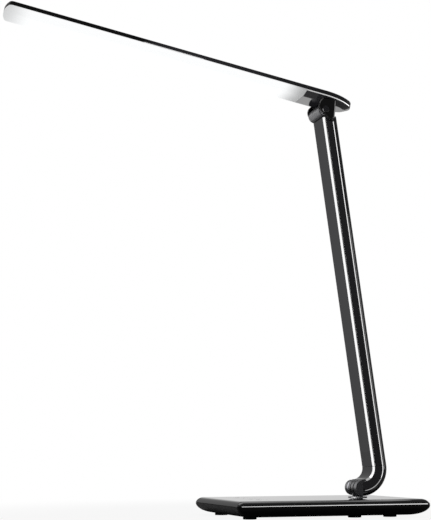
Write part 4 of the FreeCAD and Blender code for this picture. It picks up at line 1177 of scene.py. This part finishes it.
def drawn_in(head, ring, share):
    """The plan pulled towards its middle line."""
    low = head.half_width - head.front
    high = head.rear - head.tip
    moved = []
    for point in ring:
        middle = Vector((0.0, min(max(point.y, low), high)))
        moved.append(middle + (point - middle) * share)
    return moved


def keel_rings(head, outer, wall):
    """Rings of the underside: a slope from the side, a soft knee and a flat middle."""
    wide = head.half_width
    start = head.rise - head.band - head.lip - head.side
    floor = head.rise - head.thickness + wall
    profile = rounded_ring(((wide, start, 0.0), (head.flat, floor, head.knee),
                            (wide * KEEL_END_SHARE, floor, 0.0)))
    return [upright(drawn_in(head, outer, point.x / wide), point.y) for point in profile]


def trimmed(piece, level, keep_rear):
    """Cuts the piece across at a level of Y and closes the cut."""
    shell = bmesh.new()
    shell.from_mesh(piece.data)
    every = shell.verts[:] + shell.edges[:] + shell.faces[:]
    result = bmesh.ops.bisect_plane(shell, geom=every, plane_co=(0.0, level, 0.0), plane_no=(0.0, 1.0, 0.0),
                                    clear_inner=keep_rear, clear_outer=not keep_rear)
    rim = [item for item in result["geom_cut"] if isinstance(item, bmesh.types.BMEdge)]
    bmesh.ops.triangle_fill(shell, edges=rim, use_beauty=True)
    bmesh.ops.recalc_face_normals(shell, faces=shell.faces)
    shell.to_mesh(piece.data)
    shell.free()


class LAMP_OT_head(Operator):
    """Builds the light head: top cover, rear cover and milky diffuser"""
    bl_idname = "lamp.head"
    bl_label = "Light head"

    def execute(self, context):
        head = settings().head
        place = head_place()
        rim = head.rise - head.band
        edge = head.edge
        rings = []
        for turn in evenly(0.0, QUARTER, CORNER_STEPS):
            rings.append(upright(head_ring(head, head.round * (1 - math.sin(turn))),
                                 head.rise - head.round * (1 - math.cos(turn))))
        rings.append(upright(head_ring(head, 0.0), rim + edge))
        rings.append(upright(head_ring(head, edge), rim))
        rings.append(upright(head_ring(head, head.wall), rim))
        rings.append(upright(head_ring(head, head.wall), head.rise - head.wall))
        lid = loft("head_top_shell", rings, place)
        finished(lid, made(polished_black_abs), "head", "black_gloss", "head_top_cover")

        outer = head_ring(head, 0.0)
        inner = head_ring(head, head.wall)
        slight = edge * DIFFUSER_LEAN_SHARE
        for name, node, keep_rear, maker, slot, lean_in in (
                ("light_diffuser", "diffuser", False, opal_acrylic, "milky", slight),
                ("head_rear_shell", "head_rear_cover", True, polished_black_abs, "black_gloss", head.rim)):
            outside = keel_rings(head, outer, 0.0)
            inside = keel_rings(head, inner, head.wall)
            top = rim - head.lip
            rings = list(reversed(outside))
            rings.append(upright(head_ring(head, lean_in), top))
            rings.append(upright(inner, top))
            rings += inside
            shell = loft(name, rings)
            cut_at = -head.joint + (head.joint_gap / 2 if keep_rear else -head.joint_gap / 2)
            trimmed(shell, cut_at, keep_rear)
            shell.data.transform(place)
            finished(shell, made(maker), "head", slot, node)
        return {"FINISHED"}


class LAMP_OT_bracket(Operator):
    """Builds the bracket between the arm and the head, with its pin caps"""
    bl_idname = "lamp.bracket"
    bl_label = "Bracket"

    def execute(self, context):
        head = settings().head
        place = head_place()
        under = head.rise - head.thickness + head.cheek_tuck
        edge = head.edge
        hub = Vector((head.hub_back, head.hub_rise))
        corner = Vector((head.cheek_rear, -head.cheek_drop))
        way = corner - hub
        last = FULL_TURN + math.atan2(way.y, way.x) - math.acos(head.hub_radius / way.length)
        corners = [(*point, 0.0) for point in arc(hub, head.hub_radius, QUARTER, last)]
        corners.append((corner.x, corner.y, head.cheek_corner))
        corners.append((head.cheek_rear_top, under, 0.0))
        outline = rounded_ring(corners)
        pieces = []
        for side in (1, -1):
            rings = [(inset_ring(outline, edge), head.cheek_inside), (outline, head.cheek_inside + edge)]
            for turn in evenly(0.0, QUARTER, CORNER_STEPS):
                rings.append((inset_ring(outline, head.cheek_round * (1 - math.cos(turn))),
                              head.cheek_outside - head.cheek_round * (1 - math.sin(turn))))
            cheek = loft("cheek", [crosswise(ring, side * level) for ring, level in rings], place)
            seat_place = place @ Matrix.Translation((side * head.cheek_outside, 0.0, 0.0))
            seat = rod("seat", head.cap_radius, -head.cap_depth, head.cap_depth, seat_place)
            pieces.append(combined(cheek, seat, "DIFFERENCE"))
        web_ring = rounded_ring((
            (-head.web_front, head.web, edge), (head.cheek_rear_top, head.web, edge),
            (head.cheek_rear_top, under, 0.0), (-head.web_front, under, 0.0)))
        reach = head.cheek_inside + edge * 2
        pieces.append(prism("web", web_ring, -reach, reach, place, crosswise))
        yoke = joined("head_yoke", pieces)
        finished(yoke, made(polished_black_abs), "head", "black_gloss", "head_bracket")

        gap = edge / 2
        rim = head.cap_radius - gap
        profile = ((-head.cap_depth, rim), (-edge, rim), (-gap, rim - gap), (0.0, rim - edge * 2),
                   (-gap, rim - edge * 4), (-gap, edge))
        pieces = []
        for side in (1, -1):
            cap_place = (place @ Matrix.Translation((side * head.cheek_outside, 0.0, 0.0))
                         @ Matrix.Rotation(0.0 if side > 0 else math.pi, 4, "Z"))
            pieces.append(turned("cap", profile, cap_place, closed=False))
        caps = joined("hinge_pin_caps", pieces)
        finished(caps, made(polished_black_abs), "head", "black_gloss", "upper_pin_caps")
        return {"FINISHED"}


class LAMP_OT_inner_pieces(Operator):
    """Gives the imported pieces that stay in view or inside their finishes"""
    bl_idname = "lamp.inner_pieces"
    bl_label = "Inner pieces"

    def execute(self, context):
        for node, maker in NODE_FINISHES.items():
            slots = frame["nodes"][node].data.materials
            slots.clear()
            slots.append(made(maker))
        return {"FINISHED"}


# Studio

class LAMP_OT_stage(Operator):
    """Sets up the floor, the lights, the background and the camera"""
    bl_idname = "lamp.stage"
    bl_label = "Studio"

    def execute(self, context):
        scene = context.scene
        scene.view_settings.view_transform = "Standard"
        corners = box_ring(FLOOR_HALF, FLOOR_HALF, 0.0)
        floor = bpy.data.meshes.new("floor")
        floor.from_pydata(upright(corners, FLOOR_LEVEL), [], [tuple(range(len(corners)))])
        floor.materials.append(made(pale_studio_floor))
        sheet = bpy.data.objects.new("floor", floor)
        scene.collection.objects.link(sheet)
        for name, place, target, width, height, power, link, pieces in LIGHTS:
            lamp = bpy.data.lights.new(name, "AREA")
            lamp.shape = "RECTANGLE"
            lamp.size = width
            lamp.size_y = height
            lamp.energy = power
            thing = bpy.data.objects.new(name, lamp)
            thing.location = place
            thing.rotation_euler = (Vector(target) - Vector(place)).to_track_quat("-Z", "Y").to_euler()
            thing.visible_camera = False
            scene.collection.objects.link(thing)
            if pieces:
                linked = bpy.data.collections.new(name + "_pieces")
                for piece in pieces:
                    linked.objects.link(bpy.data.objects[piece])
                for item in linked.collection_objects:
                    item.light_linking.link_state = link
                thing.light_linking.receiver_collection = linked
        self.set_background(scene)
        self.set_camera(scene)
        return {"FINISHED"}

    def set_background(self, scene):
        """White to the camera; to the lamp, bright behind it and dim towards the camera's side."""
        world = bpy.data.worlds.new("studio")
        world.use_nodes = True
        tree = world.node_tree
        tree.nodes.clear()
        toward = add(tree, "ShaderNodeTexCoord").outputs["Generated"]
        facing = add(tree, "ShaderNodeVectorMath", {0: toward}, {1: BACK_WAY}, operation="DOT_PRODUCT")
        room = ranged(tree, facing.outputs["Value"], -1.0, BACK_START, ROOM_FRONT, ROOM_SIDE)
        wall = ranged(tree, facing.outputs["Value"], BACK_START, BACK_FULL, 0.0, BACK_GLOW,
                      interpolation_type="SMOOTHSTEP")
        path = add(tree, "ShaderNodeLightPath").outputs
        glow = worked(tree, "ADD", room, worked(tree, "MULTIPLY", wall, path["Is Glossy Ray"]))
        height = add(tree, "ShaderNodeSeparateXYZ", {"Vector": toward}).outputs["Z"]
        below = ranged(tree, height, BELOW_FULL, BELOW_START, ROOM_BELOW, 1.0)
        direct = worked(tree, "MAXIMUM", path["Is Camera Ray"], path["Is Transmission Ray"])
        strength = worked(tree, "MAXIMUM", worked(tree, "MULTIPLY", glow, below), direct)
        back = add(tree, "ShaderNodeBackground", {"Strength": strength}, {"Color": opaque(linear("#ffffff"))})
        add(tree, "ShaderNodeOutputWorld", {"Surface": back.outputs["Background"]})
        scene.world = world

    def set_camera(self, scene):
        ahead = Vector((-math.cos(VIEW_YAW), math.sin(VIEW_YAW), 0.0))
        right = Vector((math.sin(VIEW_YAW), math.cos(VIEW_YAW), 0.0))
        forward = ahead * math.cos(VIEW_PITCH) + Vector((0.0, 0.0, math.sin(VIEW_PITCH)))
        level_up = right.cross(forward)
        across = right * math.cos(VIEW_ROLL) + level_up * math.sin(VIEW_ROLL)
        up = level_up * math.cos(VIEW_ROLL) - right * math.sin(VIEW_ROLL)
        turn = Matrix((across, up, -forward)).transposed()
        lens = bpy.data.cameras.new("photo_view")
        lens.sensor_width = SENSOR
        lens.lens = FOCAL_PIXELS * SENSOR / PHOTO_HEIGHT
        camera = bpy.data.objects.new("photo_view", lens)
        camera.matrix_world = Matrix.Translation(VIEW_FROM) @ turn.to_4x4()
        scene.collection.objects.link(camera)
        scene.camera = camera


# Add-on

NODE_FINISHES = {
    "ballast_plate": plated_steel,
    "control_board": green_circuit_board,
    "power_inlet": sparked_black_abs,
    "lower_hinge_pin": plated_steel,
    "lower_friction_washers": dark_acetal,
    "swivel_spring_washer": plated_steel,
    "swivel_nut": plated_steel,
    "arm_spine": plated_steel,
    "arm_cable": moulded_rubber,
    "upper_barrel": turned_anodised_aluminium,
    "upper_hinge_pin": plated_steel,
    "upper_friction_washers": dark_acetal,
    "led_board": white_lacquered_board,
    "light_chips": phosphor_gel,
    "reflector_frame": matt_white_frame,
    "bracket_screws": plated_steel,
}
OPERATORS = (LAMP_OT_base_covers, LAMP_OT_base_fittings, LAMP_OT_touch_strip, LAMP_OT_lower_hinge,
             LAMP_OT_arm, LAMP_OT_head, LAMP_OT_bracket, LAMP_OT_inner_pieces, LAMP_OT_stage)


class LAMP_PT_panel(Panel):
    """Lists the steps that build the lamp"""
    bl_idname = "LAMP_PT_panel"
    bl_label = "Desk Lamp"
    bl_space_type = "VIEW_3D"
    bl_region_type = "UI"
    bl_category = "Desk Lamp"

    def draw(self, context):
        for operator in OPERATORS:
            self.layout.operator(operator.bl_idname)
        for group in (settings().base, settings().neck, settings().arm, settings().head, settings().colours):
            box = self.layout.box()
            for name in group.bl_rna.properties.keys():
                if name not in ("rna_type", "name"):
                    box.prop(group, name)


CLASSES = (BaseSizes, NeckSizes, ArmSizes, HeadSizes, LampColours, LampSettings, *OPERATORS, LAMP_PT_panel)


def register():
    for item in CLASSES:
        bpy.utils.register_class(item)
    bpy.types.Scene.desk_lamp = PointerProperty(type=LampSettings)


def unregister():
    del bpy.types.Scene.desk_lamp
    for item in reversed(CLASSES):
        bpy.utils.unregister_class(item)


def main():
    register()
    bpy.ops.lamp.base_covers()
    bpy.ops.lamp.base_fittings()
    bpy.ops.lamp.touch_strip()
    bpy.ops.lamp.lower_hinge()
    bpy.ops.lamp.arm()
    bpy.ops.lamp.head()
    bpy.ops.lamp.bracket()
    bpy.ops.lamp.inner_pieces()
    bpy.ops.lamp.stage()


if __name__ == "__main__":
    main()
